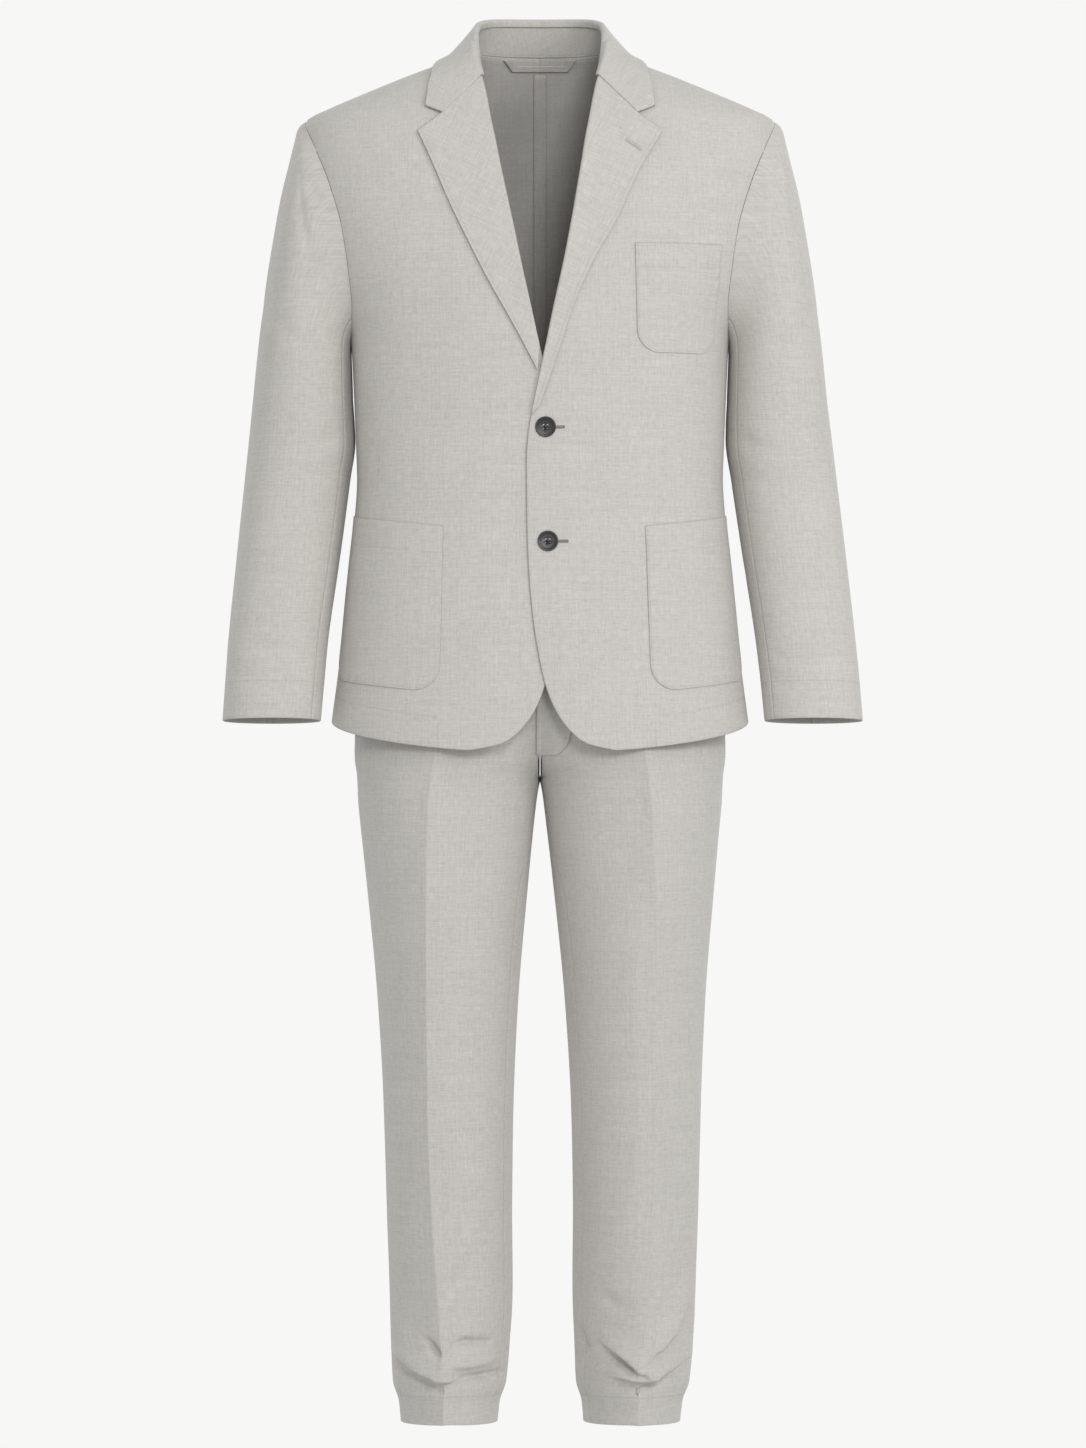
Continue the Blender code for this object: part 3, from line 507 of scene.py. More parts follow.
# The leg: its middle x, half width, depth in front and behind, the crease's angle and the drift of both legs.
LEG = Table.of(
    "height middle half front back crease sway",
    (-0.498, 0.0000, 0.1650, 0.1020, 0.1000, -88, 0),
    (-0.536, 0.0030, 0.1690, 0.1050, 0.1040, -80, 0),
    (-0.590, 0.0150, 0.1680, 0.1070, 0.1090, -72, 0),
    (-0.640, 0.0330, 0.1580, 0.1060, 0.1110, -70, 0),
    (-0.690, 0.0560, 0.1405, 0.1040, 0.1100, -72, 0),
    (-0.725, 0.0760, 0.1215, 0.1020, 0.1080, -76, 0),
    (-0.750, 0.0900, 0.1075, 0.1000, 0.1060, -80, 0),
    (-0.766, 0.0967, 0.0985, 0.0985, 0.1050, -81, 0),
    (-0.800, 0.0990, 0.0945, 0.0960, 0.1040, -80, 0),
    (-0.899, 0.0995, 0.0844, 0.0890, 0.0930, -77, 0.0008),
    (-1.006, 0.0998, 0.0750, 0.0810, 0.0840, -75, 0.0016),
    (-1.113, 0.1000, 0.0695, 0.0760, 0.0780, -74, 0.0024),
    (-1.220, 0.0994, 0.0671, 0.0740, 0.0740, -76, 0.0027),
    (-1.326, 0.0975, 0.0655, 0.0730, 0.0710, -80, 0.0027),
    (-1.369, 0.0978, 0.0635, 0.0720, 0.0700, -83, 0.0022),
    (-1.412, 0.0977, 0.0605, 0.0690, 0.0690, -86, 0.0012),
    (-1.433, 0.0975, 0.0540, 0.0660, 0.0680, -85, 0.0007),
    (-1.457, 0.0974, 0.0515, 0.0650, 0.0670, -85, 0.0005),
)

# The x of the lapels' outer edges.
LAPEL = {
    Side.LEFT: Table.of(
        "height across",
        (-0.0908, 0.1277),
        (-0.1380, 0.1010),
        (-0.1880, 0.0785),
        (-0.2270, 0.0560),
        (-0.2800, 0.0330),
        (-0.3130, 0.0225),
        (-0.3440, 0.0120),
        (-0.3640, 0.0050),
        (-0.3814, -0.0017),
    ),
    Side.RIGHT: Table.of(
        "height across",
        (-0.0908, 0.1277),
        (-0.1300, 0.1100),
        (-0.1620, 0.0965),
        (-0.2030, 0.0770),
        (-0.2480, 0.0540),
        (-0.2800, 0.0360),
        (-0.3050, 0.0220),
        (-0.3430, 0.0022),
    ),
}
# Where the lapels' rolls end, and the corners of lapel and collar as x and height.
ROLL_STOP = {Side.LEFT: -0.3880, Side.RIGHT: -0.3150}
GORGE = (0.0606, -0.0305)
NOTCH = (0.1020, -0.0715)
LAPEL_PEAK = (0.1277, -0.0908)
COLLAR_POINT = (0.1205, -0.0635)

# The collar's fold, its seam to the stand and its outer edge, from the gorge (1) to the back's middle (0).
COLLAR = Table.of(
    "station fold_x fold_y fold_z seam_x seam_y seam_z edge_x edge_y edge_z",
    (1.00, 0.0606, -0.070, -0.0305, 0.0606, -0.068, -0.0305, 0.1205, -0.070, -0.0635),
    (0.86, 0.0655, -0.052, -0.0040, 0.0712, -0.047, -0.0120, 0.1095, -0.045, -0.0350),
    (0.68, 0.0688, -0.016, 0.0260, 0.0790, -0.014, 0.0060, 0.0990, -0.006, -0.0100),
    (0.50, 0.0665, 0.022, 0.0400, 0.0775, 0.027, 0.0104, 0.0970, 0.036, 0.0000),
    (0.34, 0.0530, 0.050, 0.0478, 0.0610, 0.055, 0.0104, 0.0790, 0.066, 0.0020),
    (0.16, 0.0290, 0.066, 0.0503, 0.0320, 0.071, 0.0104, 0.0400, 0.080, 0.0030),
    (0.00, 0.0000, 0.070, 0.0507, 0.0000, 0.0752, 0.0104, 0.0000, 0.0850, 0.0030),
)


class SleeveForm:
    """A sleeve's surface, leaving the armhole and running down to the cuff."""

    cap_end = -0.330
    oval = 2.15
    cap_tight = 0.004
    cap_loose = 0.010

    def point(self, turn: np.ndarray, height: np.ndarray, side: Side) -> np.ndarray:
        """Points on the wearer's left sleeve, or on the right one as in a mirror.

        Args:
            turn: angle round it, 0 outward and 90 degrees in front.
            height: heights in metres, at or below the armhole.
            side: which sleeve it is.

        Returns:
            The points.
        """
        start_height = ARM_MIDDLE + ARM_TALL * np.cos(turn)
        reach = np.abs(np.sin(turn))
        near = TORSO_FORM.turn_of_y(ARM_FRONT * reach, start_height, Face.FRONT)
        far = TORSO_FORM.turn_of_y(ARM_BACK * reach, start_height, Face.BACK)
        start = TORSO_FORM.point(np.where(np.sin(turn) > 0, near, far), start_height)
        outer, inner, front, back = (SLEEVE.at(name, height) for name in ("outer", "inner", "front", "back"))
        across, along = np.cos(turn), -np.sin(turn)
        round_by = (np.abs(across) ** self.oval + np.abs(along) ** self.oval) ** (-1 / self.oval)
        sway = side.value * SLEEVE.at("sway", height)
        x = (outer + inner) / 2 + (outer - inner) / 2 * round_by * across + sway
        y = (front + back) / 2 + (back - front) / 2 * round_by * along
        drop = start_height - height
        run = self.cap_tight + self.cap_loose * np.sin(turn / 2) ** 2
        leave = np.where(drop > 0.1, 1, 1 - np.exp(-drop / run))
        flat = start[..., :2] + (np.stack((x, y), -1) - start[..., :2]) * leave[..., None]
        return np.concatenate((flat, height[..., None]), -1)


class LegForm:
    """A trouser leg's surface, joined to its twin above the fork, with pressed creases front and back."""

    crotch = -0.7660
    outseam = math.radians(15)
    inseam_turn = math.radians(27)
    gap = 0.0002
    oval = 2.1
    oval_less = (0.34, 0.06)
    oval_from, oval_over = -0.78, 0.20
    crease_lift = (0.122, 0.022)
    crease_from, crease_over, crease_width = -0.52, 0.12, 0.26

    def point(self, turn: np.ndarray, height: np.ndarray, side: Side) -> np.ndarray:
        """Points on the wearer's left leg, or on the right one as in a mirror.

        Args:
            turn: angle round it, 0 outward and -90 degrees in front.
            height: heights in metres.
            side: which leg it is.

        Returns:
            The points, x counted outward.
        """
        turn, height = np.broadcast_arrays(turn, height)
        half = LEG.at("half", height)
        crease = np.radians(LEG.at("crease", height))
        across, along = np.cos(turn), np.sin(turn)
        common, differing = self.oval_less
        square = self.oval - (common + differing * side.value) * soft((self.oval_from - height) / self.oval_over)
        round_by = (np.abs(across) ** square + np.abs(along) ** square) ** (-1 / square)
        depth = np.where(along < 0, LEG.at("front", height), LEG.at("back", height))
        common, differing = self.crease_lift
        pressed = (common + differing * side.value) * soft((self.crease_from - height) / self.crease_over)
        for place in (crease, -crease):
            away = np.abs((turn - place + math.pi) % (2 * math.pi) - math.pi)
            round_by = round_by * (1 + pressed * np.exp(-away / self.crease_width))
        x = LEG.at("middle", height) + half * round_by * across + side.value * LEG.at("sway", height)
        return np.stack((x, depth * round_by * along, height), -1)

    def normal(self, turn: np.ndarray, height: np.ndarray, side: Side) -> np.ndarray:
        """The outward direction.

        Args:
            turn: angles round the leg.
            height: heights in metres.
            side: which leg it is.

        Returns:
            One unit vector for each place.
        """
        around = self.point(turn + 1e-4, height, side) - self.point(turn - 1e-4, height, side)
        along = self.point(turn, height + 1e-5, side) - self.point(turn, height - 1e-5, side)
        return unit(np.cross(around, along))

    def border(self, height: np.ndarray, face: Face, side: Side) -> np.ndarray:
        """The angle of a panel's inner edge: the middle plane above the fork, the inseam below it.

        Args:
            height: heights in metres.
            face: front or back panel.
            side: which leg it is.

        Returns:
            One angle for each height.
        """
        low = np.full_like(height, math.pi / 2)
        high = np.full_like(height, math.pi)
        for _ in range(40):
            middle = (low + high) / 2
            beyond = self.point(face.value * middle, height, side)[..., 0] > self.gap
            low = np.where(beyond, middle, low)
            high = np.where(beyond, high, middle)
        inseam = math.pi + face.value * self.inseam_turn * soft((self.crotch - height) / 0.14)
        return face.value * np.where(height >= self.crotch - 1e-6, (low + high) / 2, inseam)

    def reach_forward(self, across: np.ndarray, height: float) -> np.ndarray:
        """How far forward the trouser fronts stand at those x.

        Args:
            across: places across.
            height: one height in metres.

        Returns:
            Their y.
        """
        turn = np.linspace(-math.pi, -0.3, 600)
        ring = self.point(turn, np.full_like(turn, height), Side.LEFT)
        order = np.argsort(ring[:, 0])
        return np.interp(np.abs(across), ring[order, 0], ring[order, 1])


SLEEVE_FORM = SleeveForm()
LEG_FORM = LegForm()


def add_node(tree: bpy.types.NodeTree, kind: str, values: dict, **settings: object) -> bpy.types.Node:
    """Adds a node to a tree.

    Args:
        tree: the material's nodes.
        kind: the node's type, without the words that all types start with.
        values: for each input, its number or the socket that feeds it.
        **settings: the node's other settings.

    Returns:
        The node.
    """
    node = tree.nodes.new("ShaderNode" + kind)
    for name, value in settings.items():
        setattr(node, name, value)
    feed(tree, node, values)
    return node


def feed(tree: bpy.types.NodeTree, node: bpy.types.Node, values: dict) -> None:
    """Gives a node's inputs their numbers, or links them to the sockets that feed them.

    Args:
        tree: the material's nodes.
        node: the node.
        values: for each input, its number or socket.
    """
    for place, value in values.items():
        if isinstance(value, bpy.types.NodeSocket):
            tree.links.new(value, node.inputs[place])
        else:
            node.inputs[place].default_value = value


def combine(tree: bpy.types.NodeTree, kind: str, first: object, second: object) -> bpy.types.NodeSocket:
    """The socket of a sum of two numbers or sockets, by a math node of that kind."""
    return add_node(tree, "Math", {0: first, 1: second}, operation=kind).outputs["Value"]


@dataclass(frozen=True)
class Finish:
    """What all finishes share: a name, a colour and a material of nodes."""

    name: str
    colour: tuple

    def material(self) -> bpy.types.Material:
        """Builds the material.

        Returns:
            The material.
        """
        made = bpy.data.materials.new(self.name)
        made.use_nodes = True
        tree = made.node_tree
        feed(tree, tree.nodes["Principled BSDF"], self.inputs(tree))
        return made

    def shades(self, tree: bpy.types.NodeTree, value: bpy.types.NodeSocket, *shares: float) -> bpy.types.NodeSocket:
        """The finish's colour, lighter or darker along a value.

        Args:
            tree: the material's nodes.
            value: the socket that gives the value.
            *shares: what the colour is multiplied by at 0 and at 1.

        Returns:
            The colour's socket.
        """
        ramp = add_node(tree, "ValToRGB", {"Fac": value})
        for element, share in zip(ramp.color_ramp.elements, shares):
            element.color = (*[share * part for part in self.colour], 1)
        return ramp.outputs["Color"]


@dataclass(frozen=True)
class LinenFinish(Finish):
    """Plain-weave linen: fine crossing threads with slubs, soft cloudiness, and stitch lines pressed in by a bump and
    darkened with painted shade.
    """

    colour: tuple = (0.498, 0.483, 0.455)
    slub: float = 0.25
    run: float = 0.125
    cloud: float = 0.05
    grain_turn: float = 0.0
    thread_height: float = 0.00009
    line_depth: float = 0.00016
    line_width: float = 0.0009
    # how much painted shade darkens the colour along the pressed stitch lines
    groove_painted_shade: float = 0.06

    def inputs(self, tree: bpy.types.NodeTree) -> dict:
        """The shader's inputs, on the piece's own cloth map.

        Args:
            tree: the material's nodes.

        Returns:
            Its numbers and sockets by name.
        """
        mix = partial(combine, tree)
        grain = add_node(tree, "UVMap", {}, uv_map="cloth").outputs["UV"]
        turned = add_node(tree, "Mapping", {"Rotation": (0, 0, self.grain_turn), "Vector": grain}).outputs["Vector"]
        fine = [self.threads(tree, turned, scale, 2.0) for scale in ((760.0, 110.0, 1.0), (95.0, 760.0, 1.0))]
        long = [self.threads(tree, turned, scale, 1.0) for scale in ((430.0, 16.0, 1.0), (13.0, 430.0, 1.0))]
        cloud = self.threads(tree, turned, (26.0, 20.0, 1.0), 3.0)
        threads, runs = mix("ADD", *fine), mix("ADD", *long)
        tone = mix("ADD", mix("MULTIPLY", threads, self.slub), mix("MULTIPLY", runs, self.run))
        tone = mix("ADD", tone, mix("MULTIPLY", cloud, self.cloud))
        tone = mix("ADD", tone, 1.0 - (self.slub + self.run + self.cloud / 2))
        line = mix("MAXIMUM", self.pressed_line_and_shade(tree, "line_a"), self.pressed_line_and_shade(tree, "line_b"))
        # Painted shade: the colour darkens along the stitch lines, where the bump below also presses them in.
        tone = mix("MULTIPLY", tone, mix("SUBTRACT", 1.0, mix("MULTIPLY", line, self.groove_painted_shade)))
        colour = add_node(tree, "VectorMath", {0: self.colour, "Scale": tone}, operation="SCALE")
        height = mix("SUBTRACT", mix("MULTIPLY", threads, self.thread_height), mix("MULTIPLY", line, self.line_depth))
        bump = add_node(tree, "Bump", {"Strength": 1.0, "Distance": 1.0, "Height": height})
        return {"Roughness": 0.92, "Specular IOR Level": 0.25, "Sheen Weight": 0.18, "Sheen Roughness": 0.55,
                "Base Color": colour.outputs["Vector"], "Normal": bump.outputs["Normal"]}

    def threads(self, tree: bpy.types.NodeTree, source: bpy.types.NodeSocket, scale: tuple,
                detail: float) -> bpy.types.NodeSocket:
        """Noise drawn out along the threads.

        Args:
            tree: the material's nodes.
            source: the socket that gives the cloth map.
            scale: bumps to the metre across, along and through.
            detail: how many finer layers the noise has.

        Returns:
            The noise's output socket.
        """
        spread = add_node(tree, "VectorMath", {0: source, 1: scale}, operation="MULTIPLY").outputs["Vector"]
        values = {"Vector": spread, "Scale": 1.0, "Detail": detail}
        return add_node(tree, "TexNoise", values, noise_dimensions="2D").outputs["Fac"]

    def pressed_line_and_shade(self, tree: bpy.types.NodeTree, name: str) -> bpy.types.NodeSocket:
        """A line that is sewn or pressed into the cloth; it drives both the pressed-in bump and the painted shade that
        darkens the colour along it.

        Args:
            tree: the material's nodes.
            name: the attribute with the distances.

        Returns:
            A socket with 1 on the line and 0 beside it.
        """
        distance = add_node(tree, "Attribute", {}, attribute_name=name).outputs["Fac"]
        widths = combine(tree, "MULTIPLY", distance, 1 / self.line_width)
        return combine(tree, "POWER", 0.37, combine(tree, "MULTIPLY", widths, widths))


@dataclass(frozen=True)
class HornFinish(Finish):
    """Dark polished button horn with a faint cloudy grain."""

    colour: tuple = (0.016, 0.016, 0.017)
    smoothest: float = 0.28
    roughest: float = 0.44

    def inputs(self, tree: bpy.types.NodeTree) -> dict:
        """The shader's inputs, on the object's own coordinates.

        Args:
            tree: the material's nodes.

        Returns:
            Its numbers and sockets by name.
        """
        place = add_node(tree, "TexCoord", {}).outputs["Object"]
        grain = add_node(tree, "TexNoise", {"Vector": place, "Scale": 160.0, "Detail": 3.0}).outputs["Fac"]
        rough = add_node(tree, "MapRange", {"Value": grain, "To Min": self.smoothest, "To Max": self.roughest})
        return {"Specular IOR Level": 0.5, "Base Color": self.shades(tree, grain, 0.7, 1.7),
                "Roughness": rough.outputs["Result"]}


@dataclass(frozen=True)
class ThreadFinish(Finish):
    """Twisted sewing thread, its colour darkened with painted shade in the twist's grooves."""

    def inputs(self, tree: bpy.types.NodeTree) -> dict:
        """The shader's inputs, on the object's own coordinates.

        Args:
            tree: the material's nodes.

        Returns:
            Its numbers and sockets by name.
        """
        place = add_node(tree, "TexCoord", {}).outputs["Object"]
        values = {"Vector": place, "Scale": 900.0}
        twist_and_groove_shade = add_node(tree, "TexWave", values, bands_direction="DIAGONAL").outputs["Fac"]
        bump = add_node(tree, "Bump", {"Distance": 0.0001, "Height": twist_and_groove_shade})
        # Painted shade: the colour is darker where the twist's bump is low.
        return {"Roughness": 0.8, "Base Color": self.shades(tree, twist_and_groove_shade, 0.8, 1.0), "Normal": bump.outputs["Normal"]}


@dataclass
class ClothSheet:
    """A thin shell of cloth through a grid of points, its edges rolled over."""

    name: str
    outer: np.ndarray
    normal: np.ndarray
    thickness: float = CLOTH
    side: Side = Side.LEFT
    line_a: np.ndarray = None
    line_b: np.ndarray = None
    weave: Weave = Weave.LIMB
    drop: float = 0.3
    roll: float = 0.75

    def chart(self) -> np.ndarray:
        """Where each point lies on the flat cloth, for its weave.

        Returns:
            Places across and along, in metres.
        """
        x, _, z = np.moveaxis(self.outer, -1, 0)
        if self.weave is Weave.FLAT:
            return np.stack((x, z), -1)
        down = run_length(self.outer, 0)
        centre = self.outer.shape[1] // 2
        if self.weave is Weave.EDGES:
            across = run_length(self.outer, 1)
            return np.stack((across - across[:, centre:centre + 1], -down), -1)
        across = run_length(self.outer * (1, 1, 0), 1)
        start = -x[:, :1] if self.weave is Weave.BODY else across[:, centre:centre + 1]
        middle = z[::-1, centre]
        within = np.clip(z, middle[0], middle[-1])
        return np.stack((across - start, np.interp(within, middle, -down[::-1, centre]) + z - within), -1)

    def padded(self, grid: np.ndarray) -> np.ndarray:
        """Adds a row or column just inside each border, where the edge rolls over.

        Args:
            grid: rows by columns of anything.

        Returns:
            The larger grid.
        """
        for axis in (0, 1):
            grid = np.moveaxis(grid, axis, 0)
            step = np.linalg.norm(np.diff(np.moveaxis(self.outer, axis, 0), axis=0), axis=-1).mean()
            share = min(0.45, self.roll * self.thickness / max(step, 1e-6))
            first = grid[:1] + (grid[1:2] - grid[:1]) * share
            last = grid[-1:] + (grid[-2:-1] - grid[-1:]) * share
            grid = np.concatenate((grid[:1], first, grid[1:-1], last, grid[-1:]))
            grid = np.moveaxis(grid, 0, axis)
        return grid

    def mesh(self) -> bpy.types.Mesh:
        """Makes the shell, with its cloth map and its distances from stitched lines.

        Returns:
            A closed, smooth mesh.
        """
        outer = self.padded(self.outer)
        normal = unit(self.padded(self.normal))
        rows, count = outer.shape[:2]
        inside = np.zeros((rows, count), bool)
        inside[1:-1, 1:-1] = True
        inner = outer - normal * self.thickness
        outer = np.where(inside[..., None], outer, outer - normal * self.thickness * self.drop)
        number = np.arange(rows * count).reshape(rows, count)
        under = number.copy()
        under[inside] = rows * count + np.arange(inside.sum())
        points = np.concatenate((outer.reshape(-1, 3), inner[inside]))
        chart = self.padded(self.chart())
        chart = np.concatenate((chart.reshape(-1, 2), chart[inside]))
        for places in (points, chart):
            places[:, 0] *= self.side.value
        quads = []
        for grid, turn in ((number, 1), (under, -1)):
            corners = (grid[:-1, :-1], grid[:-1, 1:], grid[1:, 1:], grid[1:, :-1])[::turn]
            quads.append(np.stack(corners, -1).reshape(-1, 4))
        mesh = bpy.data.meshes.new(self.name)
        mesh.from_pydata(points.tolist(), [], np.concatenate(quads).tolist())
        layer = mesh.uv_layers.new(name="cloth")
        corner = np.empty(len(mesh.loops), int)
        mesh.loops.foreach_get("vertex_index", corner)
        layer.data.foreach_set("uv", chart[corner].astype(np.float32).ravel())
        for label, line in (("line_a", self.line_a), ("line_b", self.line_b)):
            drawn = np.full(len(points), 1.0, np.float32)
            if line is not None:
                drawn[:rows * count] = self.padded(line[..., None]).ravel()
            mesh.attributes.new(label, "FLOAT", "POINT").data.foreach_set("value", drawn)
        mesh.validate()
        mesh.polygons.foreach_set("use_smooth", np.ones(len(mesh.polygons), bool))
        return mesh

    def cut(self) -> tuple:
        """Measures the flat piece.

        Returns:
            Its width and length, and its area in square metres.
        """
        width = run_length(self.outer, 1)[:, -1].max()
        length = run_length(self.outer, 0)[-1].max()
        a = self.outer[1:, 1:] - self.outer[:-1, :-1]
        b = self.outer[1:, :-1] - self.outer[:-1, 1:]
        area = np.linalg.norm(np.cross(a, b), axis=-1).sum() / 2
        return (round(float(width), 3), round(float(length), 3)), round(float(area), 4)

    def lay(self, finish: bpy.types.Material, held: Held, rests_on: tuple, *nodes: str) -> None:
        """Makes the object, logs what it was cut to and hides the solids that it stands for.

        Args:
            finish: the cloth's material.
            held: how it is held; not used.
            rests_on: names of what it lies on or hangs from; not used.
            *nodes: the solids that it replaces.
        """
        made = bpy.data.objects.new(self.name, self.mesh())
        bpy.context.scene.collection.objects.link(made)
        dress(made, finish)
        flat, area = self.cut()
        area = min(area, flat[0] * flat[1])
        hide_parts(*nodes)
        LOG.info("%s: cut %.3f x %.3f m, %.4f square metres", self.name, flat[0], flat[1], area)


def masked(line: np.ndarray, where: np.ndarray) -> np.ndarray:
    """Distances from a line that is only there in part of the cloth, and 1 metre in the rest."""
    return np.where(where, line, 1.0)


@dataclass
class JacketBody:
    """The fronts and the halves of the back, from the shoulders to the hem."""

    finish: bpy.types.Material
    columns: int = 72
    shoulder_rows: int = 17
    arm_rows: int = 73
    side_rows: int = 91
    top: float = 0.0103
    hem: float = -0.7065
    roll_gap: float = 0.0048
    hem_depth: float = 0.032
    # Where each front's facing ends, and the places (heights, then x) that its dart runs through.
    facing: dict = field(default_factory=lambda: {Side.LEFT: 0.1205, Side.RIGHT: 0.1068})
    darts: dict = field(default_factory=lambda: {
        Side.LEFT: ((-0.315, -0.495), (0.1290, 0.1280)),
        Side.RIGHT: ((-0.281, -0.419, -0.494), (0.1270, 0.1206, 0.1180)),
    })

    def heights(self) -> np.ndarray:
        """Heights of the rows where they end on the shoulder, the armhole and the side seam.

        Returns:
            One height for each row.
        """
        shoulder = np.linspace(self.top, ARM_MIDDLE + ARM_TALL, self.shoulder_rows + 1)[:-1]
        arm = ARM_MIDDLE + ARM_TALL * np.cos(np.linspace(0, math.pi, self.arm_rows))
        below = np.linspace(arm[-1], self.hem, self.side_rows + 1)[1:]
        return np.concatenate((shoulder, arm, below))

    def outer_turns(self, face: Face) -> np.ndarray:
        """Where the rows end on the shoulder seam, the armhole and the side seam.

        Args:
            face: front or back.

        Returns:
            One angle for each row.
        """
        shoulder, arm, below = np.split(self.heights(), np.cumsum((self.shoulder_rows, self.arm_rows)))
        reach = (ARM_FRONT if face is Face.FRONT else ARM_BACK) * np.sin(np.linspace(0, math.pi, self.arm_rows))
        turned = SIDE_TURN * soft((arm[-1] - below) / 0.07)
        return np.concatenate((0 * shoulder, TORSO_FORM.turn_of_y(reach, arm, face), turned))

    def front(self, side: Side) -> ClothSheet:
        """One front.

        Args:
            side: the wearer's side.

        Returns:
            Its sheet.
        """
        outer_height = self.heights()
        edge_height = EDGE.at("height", outer_height, over="side")
        across = front_edge(edge_height, side) + self.roll_gap * soft((edge_height - ROLL_STOP[side] - 0.006) / 0.030)
        inner = TORSO_FORM.turn_of_x(across, edge_height)
        fraction = np.linspace(0, 1, self.columns)[None]
        turn = inner[:, None] + (self.outer_turns(Face.FRONT) - inner)[:, None] * fraction
        risen = fraction ** 1.2 + fraction ** 2 * (1 - fraction)
        height = edge_height[:, None] + (outer_height - edge_height)[:, None] * risen
        points = TORSO_FORM.point(turn, height)
        lift = TORSO_FORM.lap(points[..., 0], side) + FRONT_FOLDS[side].depth(points[..., 0], height)
        points = TORSO_FORM.settle(points, lift)
        x, z = points[..., 0], points[..., 2]
        above = z - np.interp(x, x[-1], z[-1])
        hem = masked(above - self.hem_depth, x > self.facing[side])
        facing = masked(x - self.facing[side], above < self.hem_depth)
        dart_height, dart_across = (np.array(part)[::-1] for part in self.darts[side])
        dart = np.hypot(x - np.interp(z, dart_height, dart_across), 0.0006)
        line_b = np.where((z > dart_height[0]) & (z < dart_height[-1]), dart, facing)
        normal = TORSO_FORM.normal(points)
        return ClothSheet(f"linen_front_{side.word}", points, normal, CLOTH, side, hem, line_b, Weave.BODY, drop=0.55)

    def back(self, side: Side) -> ClothSheet:
        """Half of the back.

        Args:
            side: the wearer's side.

        Returns:
            Its sheet.
        """
        turn = self.outer_turns(Face.BACK)
        fraction = np.linspace(0, 1, self.columns)[None]
        height = self.heights()[:, None] + 0 * fraction
        points = TORSO_FORM.point(math.pi / 2 + (turn - math.pi / 2)[:, None] * fraction, height)
        fade = soft(fraction / 0.08)
        points = TORSO_FORM.settle(points, BACK_FOLDS.depth(side.value * points[..., 0], height) * fade)
        hem = from_end(points, 0, self.hem_depth)
        normal = TORSO_FORM.normal(points)
        return ClothSheet(f"linen_back_{side.word}", points, normal, CLOTH, side, hem, weave=Weave.BODY, drop=0.55)

    def build(self) -> None:
        """Makes the four panels."""
        for panel, name, other in ((self.front, "front", "back"), (self.back, "back", "front")):
            for side in Side:
                joined_to = (f"linen_{other}_{side.word}",)
                panel(side).lay(self.finish, Held.HUNG, joined_to, f"jacket_{name}_{side.word}")


@dataclass
class Lapels:
    """The two lapels, turned over the fronts and rolled round their edges."""

    finish: bpy.types.Material
    rows: int = 110
    roll_lift: float = 0.0022
    roll_radius: float = 0.0026
    under_lift: float = -0.0012
    edge_stitch: float = 0.0036
    edge_rise: float = 0.0009

    def sheet(self, side: Side) -> ClothSheet:
        """One lapel.

        Args:
            side: the wearer's side.

        Returns:
            Its sheet.
        """
        share = np.linspace(0, 1, self.rows)[:, None]
        outline = LAPEL[side]
        end_height = outline.columns["height"][0]
        roll_height = GORGE[1] + (ROLL_STOP[side] - GORGE[1]) * share
        roll_across = front_edge(roll_height, side)
        edge_height = LAPEL_PEAK[1] + (end_height - LAPEL_PEAK[1]) * share
        edge_across = outline.at("across", edge_height)
        top = np.concatenate((np.linspace(GORGE, NOTCH, CORNER_COLUMNS), np.linspace(NOTCH, LAPEL_PEAK, 15)[1:]))
        reach = run_length(top, 0)
        fraction = (reach / reach[-1])[None]
        bend = top - (top[:1] + (top[-1:] - top[:1]) * fraction.T)
        radius = self.roll_radius * soft((1.0 - share) / 0.25)
        across = roll_across + radius * (1 - fraction) + (edge_across - roll_across) * fraction
        across = across + bend[:, 0] * (1 - share) ** 2
        height = roll_height + (edge_height - roll_height) * fraction + bend[:, 1] * (1 - share) ** 2
        rolled = self.roll_lift * (1 - fraction) ** 2 * soft((1.02 - share) / 0.3)
        lift = DOUBLE + REST + rolled + self.edge_rise * fraction
        face = TORSO_FORM.on_front(across, height, lift, side)
        around = np.radians(np.linspace(-90, 90, 8)[:-1])[None]
        under = self.under_lift + (REST - self.under_lift) * soft((share - 0.88) / 0.1)
        middle = (lift[:, :1] + under) / 2
        deep = (lift[:, :1] - under) / 2
        wrap_across = across[:, :1] - radius * np.cos(around)
        wrap = TORSO_FORM.on_front(wrap_across, height[:, :1] + 0 * around, middle + deep * np.sin(around), side)
        points = np.concatenate((wrap, face), 1)
        line = from_end(points, 1, self.edge_stitch)
        name = f"linen_lapel_{side.word}"
        return ClothSheet(name, points, grid_normal(points), DOUBLE, side, line, weave=Weave.FLAT, drop=0.05)

    def build(self) -> None:
        """Makes both lapels."""
        for side in Side:
            self.sheet(side).lay(self.finish, Held.FOLDED, (f"linen_front_{side.word}",), f"lapel_{side.word}")


